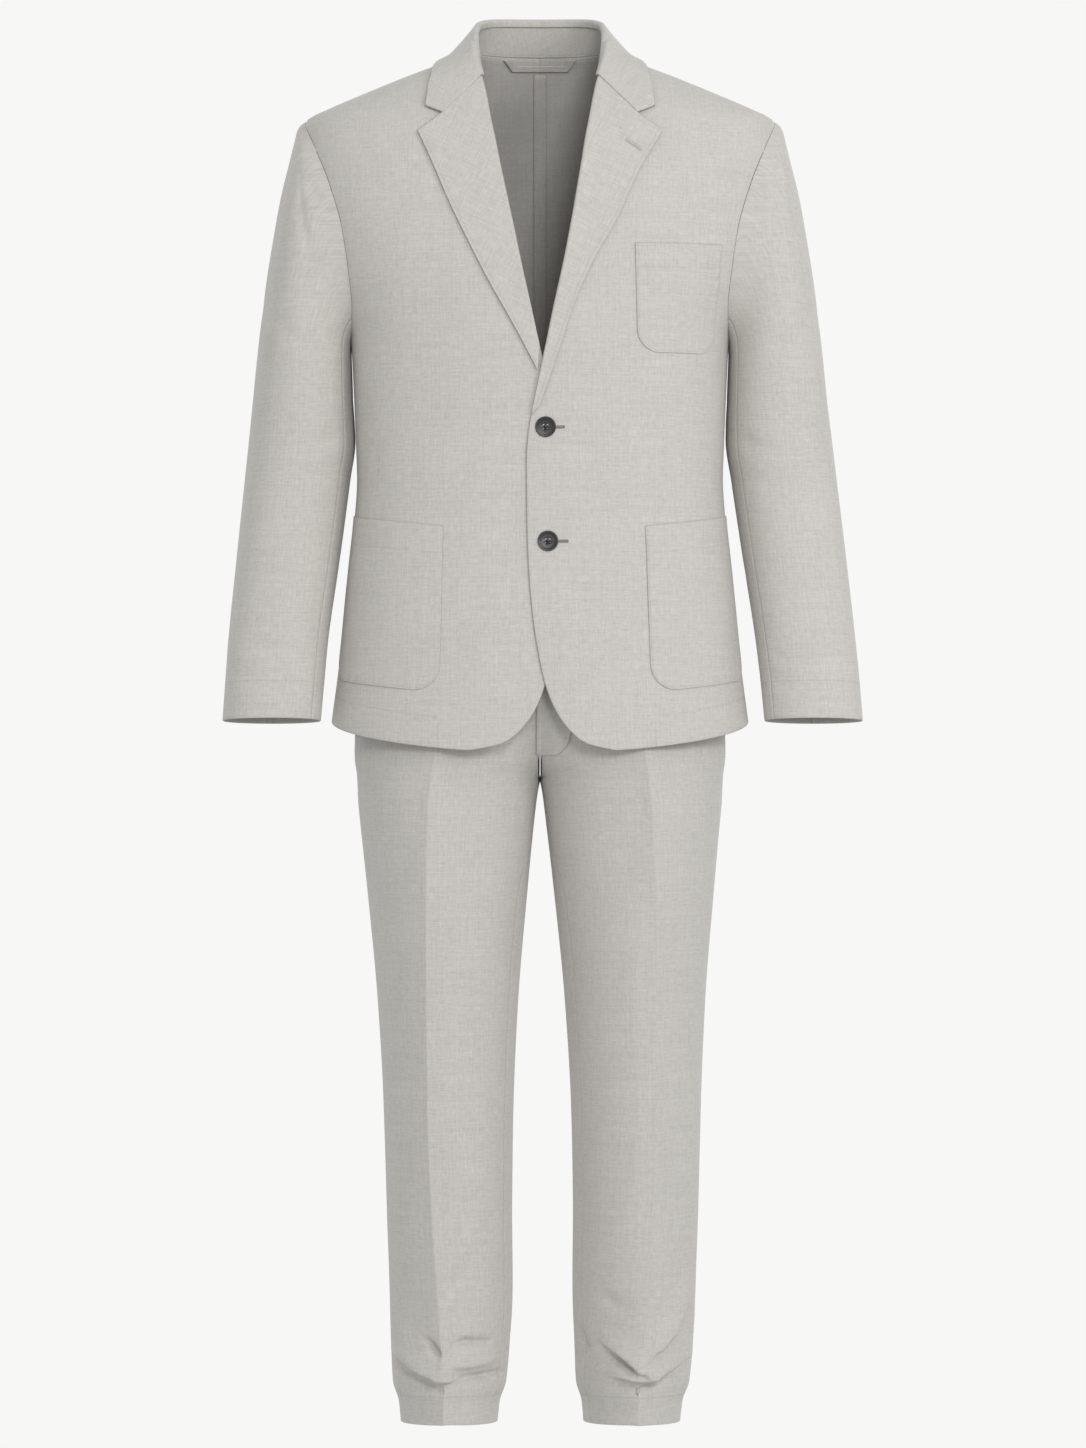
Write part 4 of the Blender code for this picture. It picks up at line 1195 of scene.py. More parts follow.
@dataclass
class Collar:
    """The collar's fall, turned over its fold, and the stand that it is sewn to."""

    finish: bpy.types.Material
    stations: int = 113
    roll_lift: float = 0.0022
    stand_short: float = 0.0085
    stand_stop: float = 0.857
    lip_in: float = 0.0030
    lip_down: float = 0.0022
    join_in: float = 0.0034
    fall_stitch: float = 0.0036
    stand_stitch: float = 0.0026

    def place(self, kind: str, station: np.ndarray) -> np.ndarray:
        """Places on one line of the collar."""
        return np.stack([COLLAR.at(f"{kind}_{axis}", station, over="station") for axis in "xyz"], -1)

    @staticmethod
    def mirrored(half: np.ndarray) -> np.ndarray:
        """A whole piece from its left half, right end first, sharing the back centre."""
        return np.concatenate((half[::-1] * (-1, 1, 1), half[1:]))

    def sheets(self) -> tuple:
        """Shapes the two sheets.

        Returns:
            The fall and the stand.
        """
        station = np.linspace(0, 1, self.stations)
        fold = self.place("fold", station)
        seam = self.place("seam", station)
        settle = TORSO_FORM.settle
        edge = settle(self.place("edge", station), DOUBLE + REST)
        end = np.concatenate((np.linspace(GORGE, NOTCH, CORNER_COLUMNS), np.linspace(NOTCH, COLLAR_POINT, 10)[1:]))
        end = TORSO_FORM.placed(end[:, 0], end[:, 1], DOUBLE + REST)
        reach = run_length(end, 0)
        fraction = (reach / reach[-1])[None, :, None]
        end[0] = settle(end[0], DOUBLE + REST + self.roll_lift)
        meet = np.clip((station - 13 / 14) * 14, 0, 1)[:, None]
        fold = fold + (end[0] - fold[-1]) * meet
        edge = edge + (end[-1] - edge[-1]) * meet
        bend = end - (end[0] + (end[-1] - end[0]) * fraction[0])
        fade = soft((station - 0.6) / 0.4)[:, None, None]
        fall = fold[:, None] + (edge - fold)[:, None] * fraction + bend[None] * fade
        fall = settle(fall, DOUBLE + REST + self.roll_lift * (1 - fraction[..., 0]) ** 2, only_up=True)
        down = seam - fold
        length = np.linalg.norm(down, axis=-1, keepdims=True)
        size = np.minimum(length / 0.02, 1)
        inward = unit(fold * (-1, -1, 0)) * size
        lip = fold + inward * self.lip_in + unit(down) * self.lip_down * size
        join = fold + inward * self.join_in + unit(down) * np.minimum(self.stand_short, 0.45 * length)
        parts = [join + (lip - join) * k / 4 for k in range(4)]
        over = fall[:, 1]
        for t in np.arange(6) / 6:
            parts.append(lip * (1 - t) ** 2 + 2 * fold * t * (1 - t) + over * t * t)
        fall = self.mirrored(np.concatenate((np.stack(parts, 1), fall[:, 1:]), 1))
        keep = station <= self.stand_stop + 1e-6
        share = np.linspace(0, 1, 12)[None, :, None]
        stand = self.mirrored(join[keep][:, None] + (seam[keep] - join[keep])[:, None] * share)
        parts = (("fall", fall, self.fall_stitch), ("stand", stand, self.stand_stitch))
        return tuple(
            ClothSheet(f"linen_collar_{name}", whole, -grid_normal(whole), DOUBLE, Side.LEFT,
                       from_end(whole, 1, stitch), weave=Weave.EDGES, drop=0.05)
            for name, whole, stitch in parts)

    def build(self) -> None:
        """Makes the fall and the stand."""
        fall, stand = self.sheets()
        fall.lay(self.finish, Held.FOLDED, ("linen_collar_stand",), "collar_fall")
        stand.lay(self.finish, Held.HUNG, ("linen_back_left", "linen_back_right"), "collar_stand")


@dataclass
class Sleeves:
    """Each sleeve in two pieces, the wide top one and the narrow one under the arm."""

    finish: bpy.types.Material
    cuff_front: float = -0.7045
    cuff_back: float = -0.7110
    cap_rows: int = 46
    arm_rows: int = 76
    cap_crowd: float = 1.7
    column_turn: int = 3
    pieces: tuple = (("top", 90, 169), ("under", 48, 91))
    hem_depth: float = 0.040

    def sheets(self, side: Side) -> tuple:
        """The sheets of one sleeve.

        Args:
            side: the wearer's side.

        Returns:
            The top and the under sheet.
        """
        turn = np.radians(np.arange(0, 360, self.column_turn))[None]
        top = ARM_MIDDLE + ARM_TALL * np.cos(turn)
        cap = np.linspace(0, 1, self.cap_rows)[:, None] ** self.cap_crowd
        height = top + (SleeveForm.cap_end - top) * cap
        middle = (self.cuff_back + self.cuff_front) / 2
        cuff = middle + (self.cuff_front - self.cuff_back) / 2 * np.sin(turn)
        low = SleeveForm.cap_end + (cuff - SleeveForm.cap_end) * np.linspace(0, 1, self.arm_rows)[1:, None]
        height = np.concatenate((height, low))
        points = SLEEVE_FORM.point(turn + 0 * height, height, side)
        normal = -grid_normal(points, wrap=True)
        points = press(points, normal, side, SLEEVE_FOLDS)
        sheets = []
        for name, first, last in self.pieces:
            columns = np.arange(first, last) % points.shape[1]
            outer = points[:, columns]
            hem = from_end(outer, 0, self.hem_depth)
            label = f"linen_sleeve_{side.word}_{name}"
            sheets.append(ClothSheet(label, outer, normal[:, columns], CLOTH, side, hem, drop=0.55))
        return tuple(sheets)

    def build(self) -> None:
        """Makes both sleeves."""
        for side in Side:
            hung = (f"linen_front_{side.word}", f"linen_back_{side.word}")
            for name, sheet in zip(("top", "under"), self.sheets(side)):
                sheet.lay(self.finish, Held.HUNG, hung, f"sleeve_{side.word}_{name}")


@dataclass
class Patch:
    """A patch pocket's place and size."""

    name: str
    side: Side
    corner: tuple
    lean: float
    wide: float
    tall: float
    tilt: float
    radius: float
    band: float


@dataclass
class Pockets:
    """Patch pockets on the fronts: one on the chest and two on the hips."""

    finish: bpy.types.Material
    edge_stitch: float = 0.0018
    belly: float = 0.0008
    patches: tuple = (
        Patch("pocket_chest", Side.LEFT, (0.0990, -0.2095), 0.003, 0.0980, 0.1135, 0.001, 0.024, 0.025),
        Patch("pocket_hip_left", Side.LEFT, (0.1100, -0.5040), 0.006, 0.1480, 0.1740, 0.0155, 0.030, 0.029),
        Patch("pocket_hip_right", Side.RIGHT, (0.1010, -0.5040), 0.004, 0.1560, 0.1740, 0.0155, 0.030, 0.029),
    )

    @staticmethod
    def along_ring(height: np.ndarray, turn: np.ndarray, distance: np.ndarray) -> np.ndarray:
        """The angle that lies a distance round the jacket from another, toward the side.

        Args:
            height: heights in metres.
            turn: the angles that the distances start from.
            distance: lengths in metres.

        Returns:
            The angles.
        """
        fine = np.linspace(-math.pi / 2, math.pi / 3, 240)
        result = np.empty(np.broadcast(height, turn, distance).shape)
        for place, (z, start, length) in enumerate(np.broadcast(height, turn, distance)):
            ring = TORSO_FORM.point(fine, np.full_like(fine, z))
            run = run_length(ring, 0)
            result.flat[place] = np.interp(np.interp(start, fine, run) + length, run, fine)
        return result

    def sheet(self, patch: Patch) -> ClothSheet:
        """One pocket.

        Args:
            patch: its place and size.

        Returns:
            Its sheet.
        """
        straight = np.linspace(0, 1 - patch.radius / patch.tall, 30)
        corner = np.radians(np.linspace(0, 90, 15)[1:])
        down = np.concatenate((straight, 1 - patch.radius / patch.tall * (1 - np.sin(corner))))
        inset = np.concatenate((0 * straight, patch.radius * (1 - np.cos(corner))))
        across = np.linspace(0, 1, 37)[None] * (1 - 2 * inset[:, None] / patch.wide) + inset[:, None] / patch.wide
        down = down[:, None] + 0 * across
        height = patch.corner[1] - down * patch.tall + across * patch.tilt
        start = TORSO_FORM.turn_of_x(patch.corner[0] + patch.lean * down, height)
        points = TORSO_FORM.point(self.along_ring(height, start, across * patch.wide), height)
        x = points[..., 0]
        belly = self.belly * np.sin(math.pi * across) * np.sin(math.pi * np.clip(down, 0, 1) ** 0.8)
        lift = CLOTH + REST / 2 + TORSO_FORM.lap(x, patch.side) + FRONT_FOLDS[patch.side].depth(x, height) + belly
        points = TORSO_FORM.settle(points, lift)
        side_gap = np.minimum(across, 1 - across) * patch.wide
        low_gap = (1 - down) * patch.tall
        in_corner = (side_gap < patch.radius) & (low_gap < patch.radius)
        round_gap = patch.radius - np.hypot(patch.radius - side_gap, patch.radius - low_gap)
        gap = np.where(in_corner, round_gap, np.minimum(side_gap, low_gap))
        edge = gap - self.edge_stitch
        band = masked(down * patch.tall - patch.band, gap > self.edge_stitch)
        normal = TORSO_FORM.normal(points)
        return ClothSheet("linen_" + patch.name, points, normal, CLOTH, patch.side, edge, band, Weave.BODY, drop=0.6)

    def build(self) -> None:
        """Makes the three pockets."""
        for patch in self.patches:
            self.sheet(patch).lay(self.finish, Held.LAID, (f"linen_front_{patch.side.word}",), patch.name)


@dataclass
class BackNeck:
    """What shows inside the back of the neck: the tape over the centre seam and the hanger loop."""

    finish: bpy.types.Material
    tape_half: float = 0.0070
    tape_thick: float = 0.0009
    tape_stitch: float = 0.0012
    loop_thick: float = 0.0011
    loop: tuple = ((0.0405, 0.0090), (0.0305, -0.0035), (0.0290, 0.0090), (0.0265, 0.0035))

    def tape(self) -> ClothSheet:
        """Shapes the tape.

        Returns:
            Its sheet.
        """
        height = np.linspace(-0.0060, -0.7065, 150)[:, None]
        across = np.linspace(-self.tape_half, self.tape_half, 7)[None]
        height = height + 0 * across
        points = TORSO_FORM.placed(across + 0 * height, height, -CLOTH - 1.5 * REST, Face.BACK)
        line = self.tape_half - self.tape_stitch - np.abs(across) + 0 * height
        return ClothSheet("linen_back_seam_tape", points, TORSO_FORM.normal(points), self.tape_thick, line_a=line)

    def hanger(self) -> ClothSheet:
        """Shapes the loop.

        Returns:
            Its sheet.
        """
        corners = np.array(self.loop)
        outer, inner = (np.array((top * (-1, 1), low * (-1, 1), low * (0, 1), low, top))
                        for top, low in (corners[:2], corners[2:]))
        flat = outer[None] + (inner - outer)[None] * np.linspace(0, 1, 7)[:, None, None]
        fine = [flat[:, :1]]
        for k in range(4):
            share = np.linspace(0, 1, 13)[1:][None, :, None]
            fine.append(flat[:, k:k + 1] + (flat[:, k + 1:k + 2] - flat[:, k:k + 1]) * share)
        flat = np.concatenate(fine, 1)
        points = TORSO_FORM.placed(flat[..., 0], flat[..., 1], -CLOTH - 3 * REST, Face.BACK)
        return ClothSheet("linen_hanger_loop", points, TORSO_FORM.normal(points), self.loop_thick)

    def build(self) -> None:
        """Makes the tape and the loop."""
        self.tape().lay(self.finish, Held.LAID, ("linen_back_left", "linen_back_right"), "back_seam_tape")
        self.hanger().lay(self.finish, Held.HUNG, ("linen_collar_stand",), "hanger_loop")


@dataclass
class Trousers:
    """Fronts and backs of both legs, the waistband and the fly."""

    finish: bpy.types.Material
    waist_top: float = -0.4980
    waist_seam: float = -0.5360
    hem_front: float = -1.4495
    hem_back: float = -1.4570
    hem_depth: float = 0.030
    hem_stop: float = -1.452
    dense_from: float = -1.24
    rows: tuple = (130, 128)
    columns: int = 36
    crowd: float = 1.4
    hem_from, hem_over = -1.40, 0.052
    overhang: float = 0.55
    fork_gap: float = 0.0016
    fork_from, fork_over = -0.741, 0.008
    edge_stitch: float = 0.0015
    fly_from: float = -0.0035
    fly_to: float = 0.0360
    fly_heights: tuple = (-0.5390, -0.70, -0.744)

    def panel(self, side: Side, face: Face) -> ClothSheet:
        """One panel of a leg.

        Args:
            side: the wearer's side.
            face: front or back.

        Returns:
            Its sheet.
        """
        high = np.linspace(self.waist_seam, self.dense_from, self.rows[0])
        height = np.concatenate((high[:-1], np.linspace(self.dense_from, self.hem_stop, self.rows[1])))
        crease = -face.value * np.radians(LEG.at("crease", height))
        border = LEG_FORM.border(height, face, side)
        share = np.linspace(0, 1, self.columns)
        near = 1 - (1 - share) ** self.crowd
        far = share[1:] ** self.crowd
        outer = LegForm.outseam + (crease - LegForm.outseam)[:, None] * near[None]
        turn = np.concatenate((outer, crease[:, None] + (border - crease)[:, None] * far[None]), 1)
        place = height[:, None] + 0 * turn
        hem = self.hem_front + (self.hem_back - self.hem_front) * ((1 + np.sin(turn[-1])) / 2) ** 0.5
        place = place + (hem - place[-1]) * soft((self.hem_from - place) / self.hem_over)
        points = LEG_FORM.point(turn, place, side)
        normal = LEG_FORM.normal(turn, place, side)
        points = press(points, normal, side, LEG_FOLDS, self.overhang)
        if face is Face.FRONT:
            least = self.fork_gap * soft((self.fork_from - points[..., 2]) / self.fork_over)
            points[..., 0] = np.maximum(points[..., 0], least)
        stitch = from_end(points, 0, self.hem_depth)
        return ClothSheet(f"linen_trouser_{face.word}_{side.word}", points, normal, CLOTH, side, stitch)

    def waistband(self) -> ClothSheet:
        """Shapes the band over the tops of the panels.

        Returns:
            Its sheet.
        """
        half_turn = np.linspace(-math.pi / 2, math.pi / 2, 75)
        height = np.linspace(self.waist_top, self.waist_seam, 11)[:, None]
        half = LEG_FORM.point(half_turn[None] + 0 * height, height + 0 * half_turn[None], Side.LEFT)
        half[:, 0, 0] = LegForm.gap
        half[:, -1, 0] = 0
        ring = np.concatenate((half, half[:, -2::-1] * (-1, 1, 1)), 1)
        line = (self.waist_top - ring[..., 2]) - self.edge_stitch
        return ClothSheet("linen_waistband", ring, unit(ring * (1, 1.6, 0)), DOUBLE, Side.LEFT, line)

    def fly(self) -> ClothSheet:
        """Shapes the flap over the centre front.

        Returns:
            Its sheet.
        """
        places = Table.of(
            "height wide",
            (-0.5390, 1), (-0.6650, 1), (-0.7000, 0.98), (-0.7280, 0.86), (-0.7420, 0.60), (-0.7480, 0.35),
        )
        top, bend, end = self.fly_heights
        height = np.concatenate((np.linspace(top, bend, 40), np.linspace(bend, end, 24)[1:]))
        share = np.linspace(0, 1, 14)[None]
        across = self.fly_from + (self.fly_to - self.fly_from) * share * places.at("wide", height)[:, None]
        depth = np.stack([LEG_FORM.reach_forward(across[r], z) for r, z in enumerate(height)])
        points = np.stack((across, depth - 3 * REST - CLOTH, height[:, None] + 0 * across), -1)
        line = across - self.fly_from - self.edge_stitch
        return ClothSheet("linen_fly", points, grid_normal(points), CLOTH, Side.LEFT, line)

    def build(self) -> None:
        """Makes the trousers."""
        for side in Side:
            for face in Face:
                node = f"trouser_{face.word}_{side.word}"
                self.panel(side, face).lay(self.finish, Held.HUNG, ("linen_waistband",), node)
        fronts = ("linen_trouser_front_left", "linen_trouser_front_right")
        self.waistband().lay(self.finish, Held.HUNG, fronts, "waistband")
        self.fly().lay(self.finish, Held.HUNG, fronts, "fly")


@dataclass
class ButtonRow:
    """Two four-hole buttons on the left front, each sewn through with crossing threads."""

    horn: bpy.types.Material
    thread: bpy.types.Material
    places: tuple = ((0.0059, -0.4027), (0.0083, -0.5216))
    radius: float = 0.0108
    thickness: float = 0.0022
    hole: float = 0.0021
    hole_radius: float = 0.00085
    rim: tuple = ((0.0014, 0.0), (0.0010, -0.0006), (0.0022, -0.0002))
    foot: tuple = ((0.0018, 0.0003),)
    strand_radius: float = 0.00026
    strand_top: float = 0.0020
    strand_bend: float = 0.0012
    strand_apart: float = 0.00028
    bevel: float = 0.00035

    def seat(self, across: float, height: float) -> tuple:
        """Where a button lies.

        Args:
            across: its x.
            height: its height.

        Returns:
            Its place, and its sideways, upright and outward directions.
        """
        place = TORSO_FORM.on_front(np.array(across), np.array(height), REST / 2, Side.LEFT)
        out = TORSO_FORM.normal(place)
        up = unit(np.array((0, 0, 1.0)) - out * out[2])
        return place, np.cross(up, out), up, out

    def disc(self, name: str) -> bpy.types.Object:
        """A button lying flat at the origin, shaped from a cylinder.

        Args:
            name: the object's name.

        Returns:
            The button, with its rim, dished middle and four holes.
        """
        clear_selection()
        bpy.ops.mesh.primitive_cylinder_add(
            vertices=64, radius=self.radius, depth=self.thickness, location=(0, 0, 0.0013))
        made = bpy.context.object
        made.name = name
        bpy.ops.object.mode_set(mode="EDIT")
        for up, insets in ((1, self.rim), (-1, self.foot)):
            pick_faces(made, up)
            for width, rise in insets:
                bpy.ops.mesh.inset(thickness=width)
                bpy.ops.transform.translate(value=(0, 0, rise))
        bpy.ops.object.mode_set(mode="OBJECT")
        holes = made.modifiers.new("holes", "BOOLEAN")
        holes.solver = "EXACT"
        holes.object = drill = self.drill()
        use_only(made)
        bpy.ops.object.modifier_apply(modifier="holes")
        bpy.data.objects.remove(drill)
        soften = made.modifiers.new("soften", "BEVEL")
        soften.width = self.bevel
        soften.segments = 3
        soften.limit_method = "ANGLE"
        soften.angle_limit = math.radians(32)
        bpy.ops.object.modifier_apply(modifier="soften")
        bpy.ops.object.shade_smooth_by_angle(angle=math.radians(35))
        return made

    def drill(self) -> bpy.types.Object:
        """Four rods through the places of the holes.

        Returns:
            The rods as one object.
        """
        rods = []
        for x, y in ((-1, -1), (-1, 1), (1, -1), (1, 1)):
            place = (x * self.hole, y * self.hole, 0)
            bpy.ops.mesh.primitive_cylinder_add(vertices=20, radius=self.hole_radius, depth=0.02, location=place)
            rods.append(bpy.context.object)
        return joined(rods, "drill")

    def threads(self, name: str) -> bpy.types.Object:
        """The threads that cross between the holes, from thin bent cylinders.

        Args:
            name: the object's name.

        Returns:
            The threads as one object lying at the origin.
        """
        strands = []
        for angle, rise in ((math.radians(45), 0.0003), (math.radians(-45), 0)):
            for beside in (-self.strand_apart, self.strand_apart):
                bpy.ops.mesh.primitive_cylinder_add(vertices=10, radius=self.strand_radius, depth=self.hole * 2.9)
                strand = bpy.context.object
                bpy.ops.object.mode_set(mode="EDIT")
                for bend in (self.strand_bend, -self.strand_bend):
                    bpy.ops.mesh.select_all(action="SELECT")
                    bpy.ops.mesh.bisect(plane_co=(0, 0, bend), plane_no=(0, 0, 1))
                bpy.ops.object.mode_set(mode="OBJECT")
                for vertex in strand.data.vertices:
                    along, side = vertex.co.z, vertex.co.x + beside
                    low = 0.0008 if abs(along) > 0.002 else 0.0
                    vertex.co = (along * math.cos(angle) - side * math.sin(angle),
                                 along * math.sin(angle) + side * math.cos(angle),
                                 self.strand_top + vertex.co.y - low + rise)
                strands.append(strand)
        made = joined(strands[::-1], name)
        bpy.ops.object.shade_smooth()
        return made

    def build(self) -> None:
        """Makes both buttons."""
        for word, where in zip(("top", "bottom"), self.places):
            place, aside, up, out = self.seat(*where)
            disc, thread = self.disc(f"horn_button_{word}"), self.threads(f"thread_button_{word}")
            for piece, finish in ((disc, self.horn), (thread, self.thread)):
                for vertex in piece.data.vertices:
                    x, y, z = vertex.co
                    vertex.co = (place + aside * x + up * y + out * z).tolist()
                dress(piece, finish)
            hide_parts(f"button_{word}")


@dataclass
class Buttonhole:
    """A slit worked round with small stitches."""

    name: str
    start: tuple
    end: tuple
    lift: float
    finish: bpy.types.Material
    spacing: float = 0.00085
    half: float = 0.0011
    slit: tuple = (0.0009, 0.0003)

    def stitch(self) -> bpy.types.Object:
        """One short strand lying across the slit's edge, at the origin.

        Returns:
            The strand.
        """
        clear_selection()
        bpy.ops.mesh.primitive_cylinder_add(vertices=6, radius=0.00027, depth=0.0015)
        bpy.ops.object.mode_set(mode="EDIT")
        bpy.ops.mesh.select_all(action="SELECT")
        bpy.ops.transform.rotate(value=math.radians(90), orient_axis="X", center_override=(0, 0, 0))
        bpy.ops.object.mode_set(mode="OBJECT")
        return bpy.context.object

    @staticmethod
    def copied(first: bpy.types.Object, x: float, y: float, turn: float) -> bpy.types.Object:
        """A copy of a strand with its own mesh, turned about the upright axis and moved.

        Args:
            first: the strand at the origin.
            x: how far the copy moves along the slit.
            y: how far it moves across the slit.
            turn: its turn in radians.

        Returns:
            The copy.
        """
        again = first.copy()
        again.data = first.data.copy()
        bpy.context.scene.collection.objects.link(again)
        for vertex in again.data.vertices:
            a, b, c = vertex.co
            vertex.co = (x + a * math.cos(turn) - b * math.sin(turn), y + a * math.sin(turn) + b * math.cos(turn), c)
        return again

    def build(self) -> None:
        """Makes the slit and its stitches as one object and lays it on the left front."""
        start, end = np.array(self.start), np.array(self.end)
        length = float(np.linalg.norm(end - start))
        along = (end - start) / length
        beside = np.array((-along[1], along[0]))
        first = self.stitch()
        strands = []
        count = int(length / self.spacing)
        for row in (-1, 1):
            for place in range(count):
                strands.append(self.copied(first, (place + 0.5) * self.spacing, row * self.half, 0.0))
        for turn in np.linspace(-75, 75, 6):
            angle = math.radians(turn)
            reach = count * self.spacing + self.half * math.cos(angle)
            strands.append(self.copied(first, reach, self.half * math.sin(angle), angle - math.pi / 2))
        bpy.data.objects.remove(first)
        bpy.ops.mesh.primitive_cube_add(size=1)
        slit = bpy.context.object
        slit.scale = (length, *self.slit)
        bpy.ops.object.transform_apply(scale=True)
        for vertex in slit.data.vertices:
            vertex.co.x += length / 2
        slit = joined([*strands, slit], self.name)
        for vertex in slit.data.vertices:
            across, height = start + along * vertex.co.x + beside * vertex.co.y
            lift = np.array(self.lift + vertex.co.z)
            vertex.co = TORSO_FORM.on_front(np.array(across), np.array(height), lift, Side.LEFT).tolist()
        use_only(slit)
        bpy.ops.object.shade_smooth_by_angle(angle=math.radians(50))
        dress(slit, self.finish)


def clear_selection() -> None:
    """Leaves nothing selected."""
    bpy.ops.object.select_all(action="DESELECT")


def use_only(piece: bpy.types.Object) -> None:
    """Selects one object and makes it the active one.

    Args:
        piece: the object.
    """
    clear_selection()
    piece.select_set(True)
    bpy.context.view_layer.objects.active = piece


def joined(pieces: list, name: str) -> bpy.types.Object:
    """Joins objects into the last of them.

    Args:
        pieces: the objects.
        name: what the whole is called.

    Returns:
        The whole.
    """
    use_only(pieces[-1])
    for piece in pieces:
        piece.select_set(True)
    bpy.ops.object.join()
    pieces[-1].name = name
    return pieces[-1]


def pick_faces(piece: bpy.types.Object, up: float) -> None:
    """Selects, in edit mode, only the faces that look one way.

    Args:
        piece: the object being edited.
        up: 1 for faces that look up, -1 for down.
    """
    bpy.ops.mesh.select_mode(type="FACE")
    bpy.ops.mesh.select_all(action="DESELECT")
    work = bmesh.from_edit_mesh(piece.data)
    for face in work.faces:
        face.select_set(up * face.normal.z > 0.9)
    bmesh.update_edit_mesh(piece.data)


def dress(piece: bpy.types.Object, finish: bpy.types.Material) -> None:
    """Turns a closed piece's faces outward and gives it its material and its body.

    Args:
        piece: the object.
        finish: its only material.
    """
    work = bmesh.new()
    work.from_mesh(piece.data)
    bmesh.ops.recalc_face_normals(work, faces=work.faces[:])
    work.to_mesh(piece.data)
    work.free()
    piece.data.materials.clear()
    piece.data.materials.append(finish)
    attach(piece, "root")
    LOG.info("%s: %d faces", piece.name, len(piece.data.polygons))


@dataclass
class Studio:
    """Camera, lights, pale backdrop and floor."""

    camera_place: tuple = (0.0032, -5.0, -0.711)
    lens: float = 116.4
    pale: tuple = (0.930, 0.930, 0.924)
    ambient: float = 0.74
    floor_height: float = -1.60
    aim: tuple = (0, 0, -0.7)
    lamps: tuple = (
        ("key", (2.6, -3.0, 0.7), 1.5, 41), ("front", (0.66, -4.1, 0.6), 0.8, 54),
        ("back_key", (-2.6, 3.0, 0.7), 1.5, 30), ("back", (2.2, 3.6, 0.9), 1.0, 24),
    )

    def build(self) -> None:
        """Sets up the view and the light."""
        scene = bpy.context.scene
        camera = bpy.data.cameras.new("camera")
        camera.lens = self.lens
        camera.sensor_width = 36
        holder = bpy.data.objects.new("camera", camera)
        holder.location = self.camera_place
        holder.rotation_euler = (math.radians(90), 0, 0)
        scene.collection.objects.link(holder)
        scene.camera = holder
        scene.view_settings.view_transform = "Standard"
        world = bpy.data.worlds.new("studio")
        world.use_nodes = True
        self.pale_backdrop(world.node_tree, "Background", "OUTPUT_WORLD")
        scene.world = world
        for lamp in self.lamps:
            self.lamp(*lamp)
        self.floor()

    def pale_backdrop(self, tree: bpy.types.NodeTree, kind: str, output: str) -> None:
        """Makes a tree show the pale colour and light the suit with a dimmer one.

        Args:
            tree: the world's or the floor's nodes.
            kind: the node that gives off light there.
            output: the type of the tree's output node.
        """
        out = next(node for node in tree.nodes if node.type == output)
        seen = add_node(tree, kind, {"Color": (*self.pale, 1)}).outputs[0]
        cast = add_node(tree, kind, {"Color": (*[self.ambient * value for value in self.pale], 1)}).outputs[0]
        seen_only = add_node(tree, "LightPath", {}).outputs["Is Camera Ray"]
        which = add_node(tree, "MixShader", {"Fac": seen_only, 1: cast, 2: seen}).outputs["Shader"]
        feed(tree, out, {"Surface": which})

    def lamp(self, name: str, place: tuple, size: float, power: float) -> None:
        """A square soft light aimed at the middle of the suit.

        Args:
            name: the light's name.
            place: where it stands.
            size: its width in metres.
            power: watts.
        """
        light = bpy.data.lights.new(name, "AREA")
        light.size = size
        light.energy = power
        holder = bpy.data.objects.new(name, light)
        holder.location = place
        aim = Vector(self.aim) - Vector(place)
        holder.rotation_euler = aim.to_track_quat("-Z", "Y").to_euler()
        bpy.context.scene.collection.objects.link(holder)

    def floor(self) -> None:
        """A wide pale floor below the hems."""
        clear_selection()
        bpy.ops.mesh.primitive_plane_add(size=60, location=(0, 0, self.floor_height))
        floor = bpy.context.object
        floor.name = "studio_floor"
        bpy.ops.object.transform_apply(location=True)
        finish = bpy.data.materials.new("pale_floor")
        finish.use_nodes = True
        self.pale_backdrop(finish.node_tree, "Emission", "OUTPUT_MATERIAL")
        floor.data.materials.append(finish)


def press(points: np.ndarray, normal: np.ndarray, side: Side, folds: dict, overhang: float = 0.0) -> np.ndarray:
    """Presses folds into a tube of cloth, front and back apart.

    Args:
        points: the tube's points, x counted outward.
        normal: their outward directions.
        side: the wearer's side.
        folds: the folds by side and face, over x and height as the wearer's left sees them.
        overhang: how far a ridge drops for each metre that it lifts.

    Returns:
        The moved points.
    """
    x, z = points[..., 0], points[..., 2]
    ahead = soft(0.5 - 1.2 * normal[..., 1])
    front = folds[side, Face.FRONT].depth(x, z)
    back = folds[side, Face.BACK].depth(x, z)
    lift = front * ahead + back * (1 - ahead)
    pressed = points + normal * lift[..., None]
    pressed[..., 2] -= overhang * np.maximum(lift, 0)
    return pressed


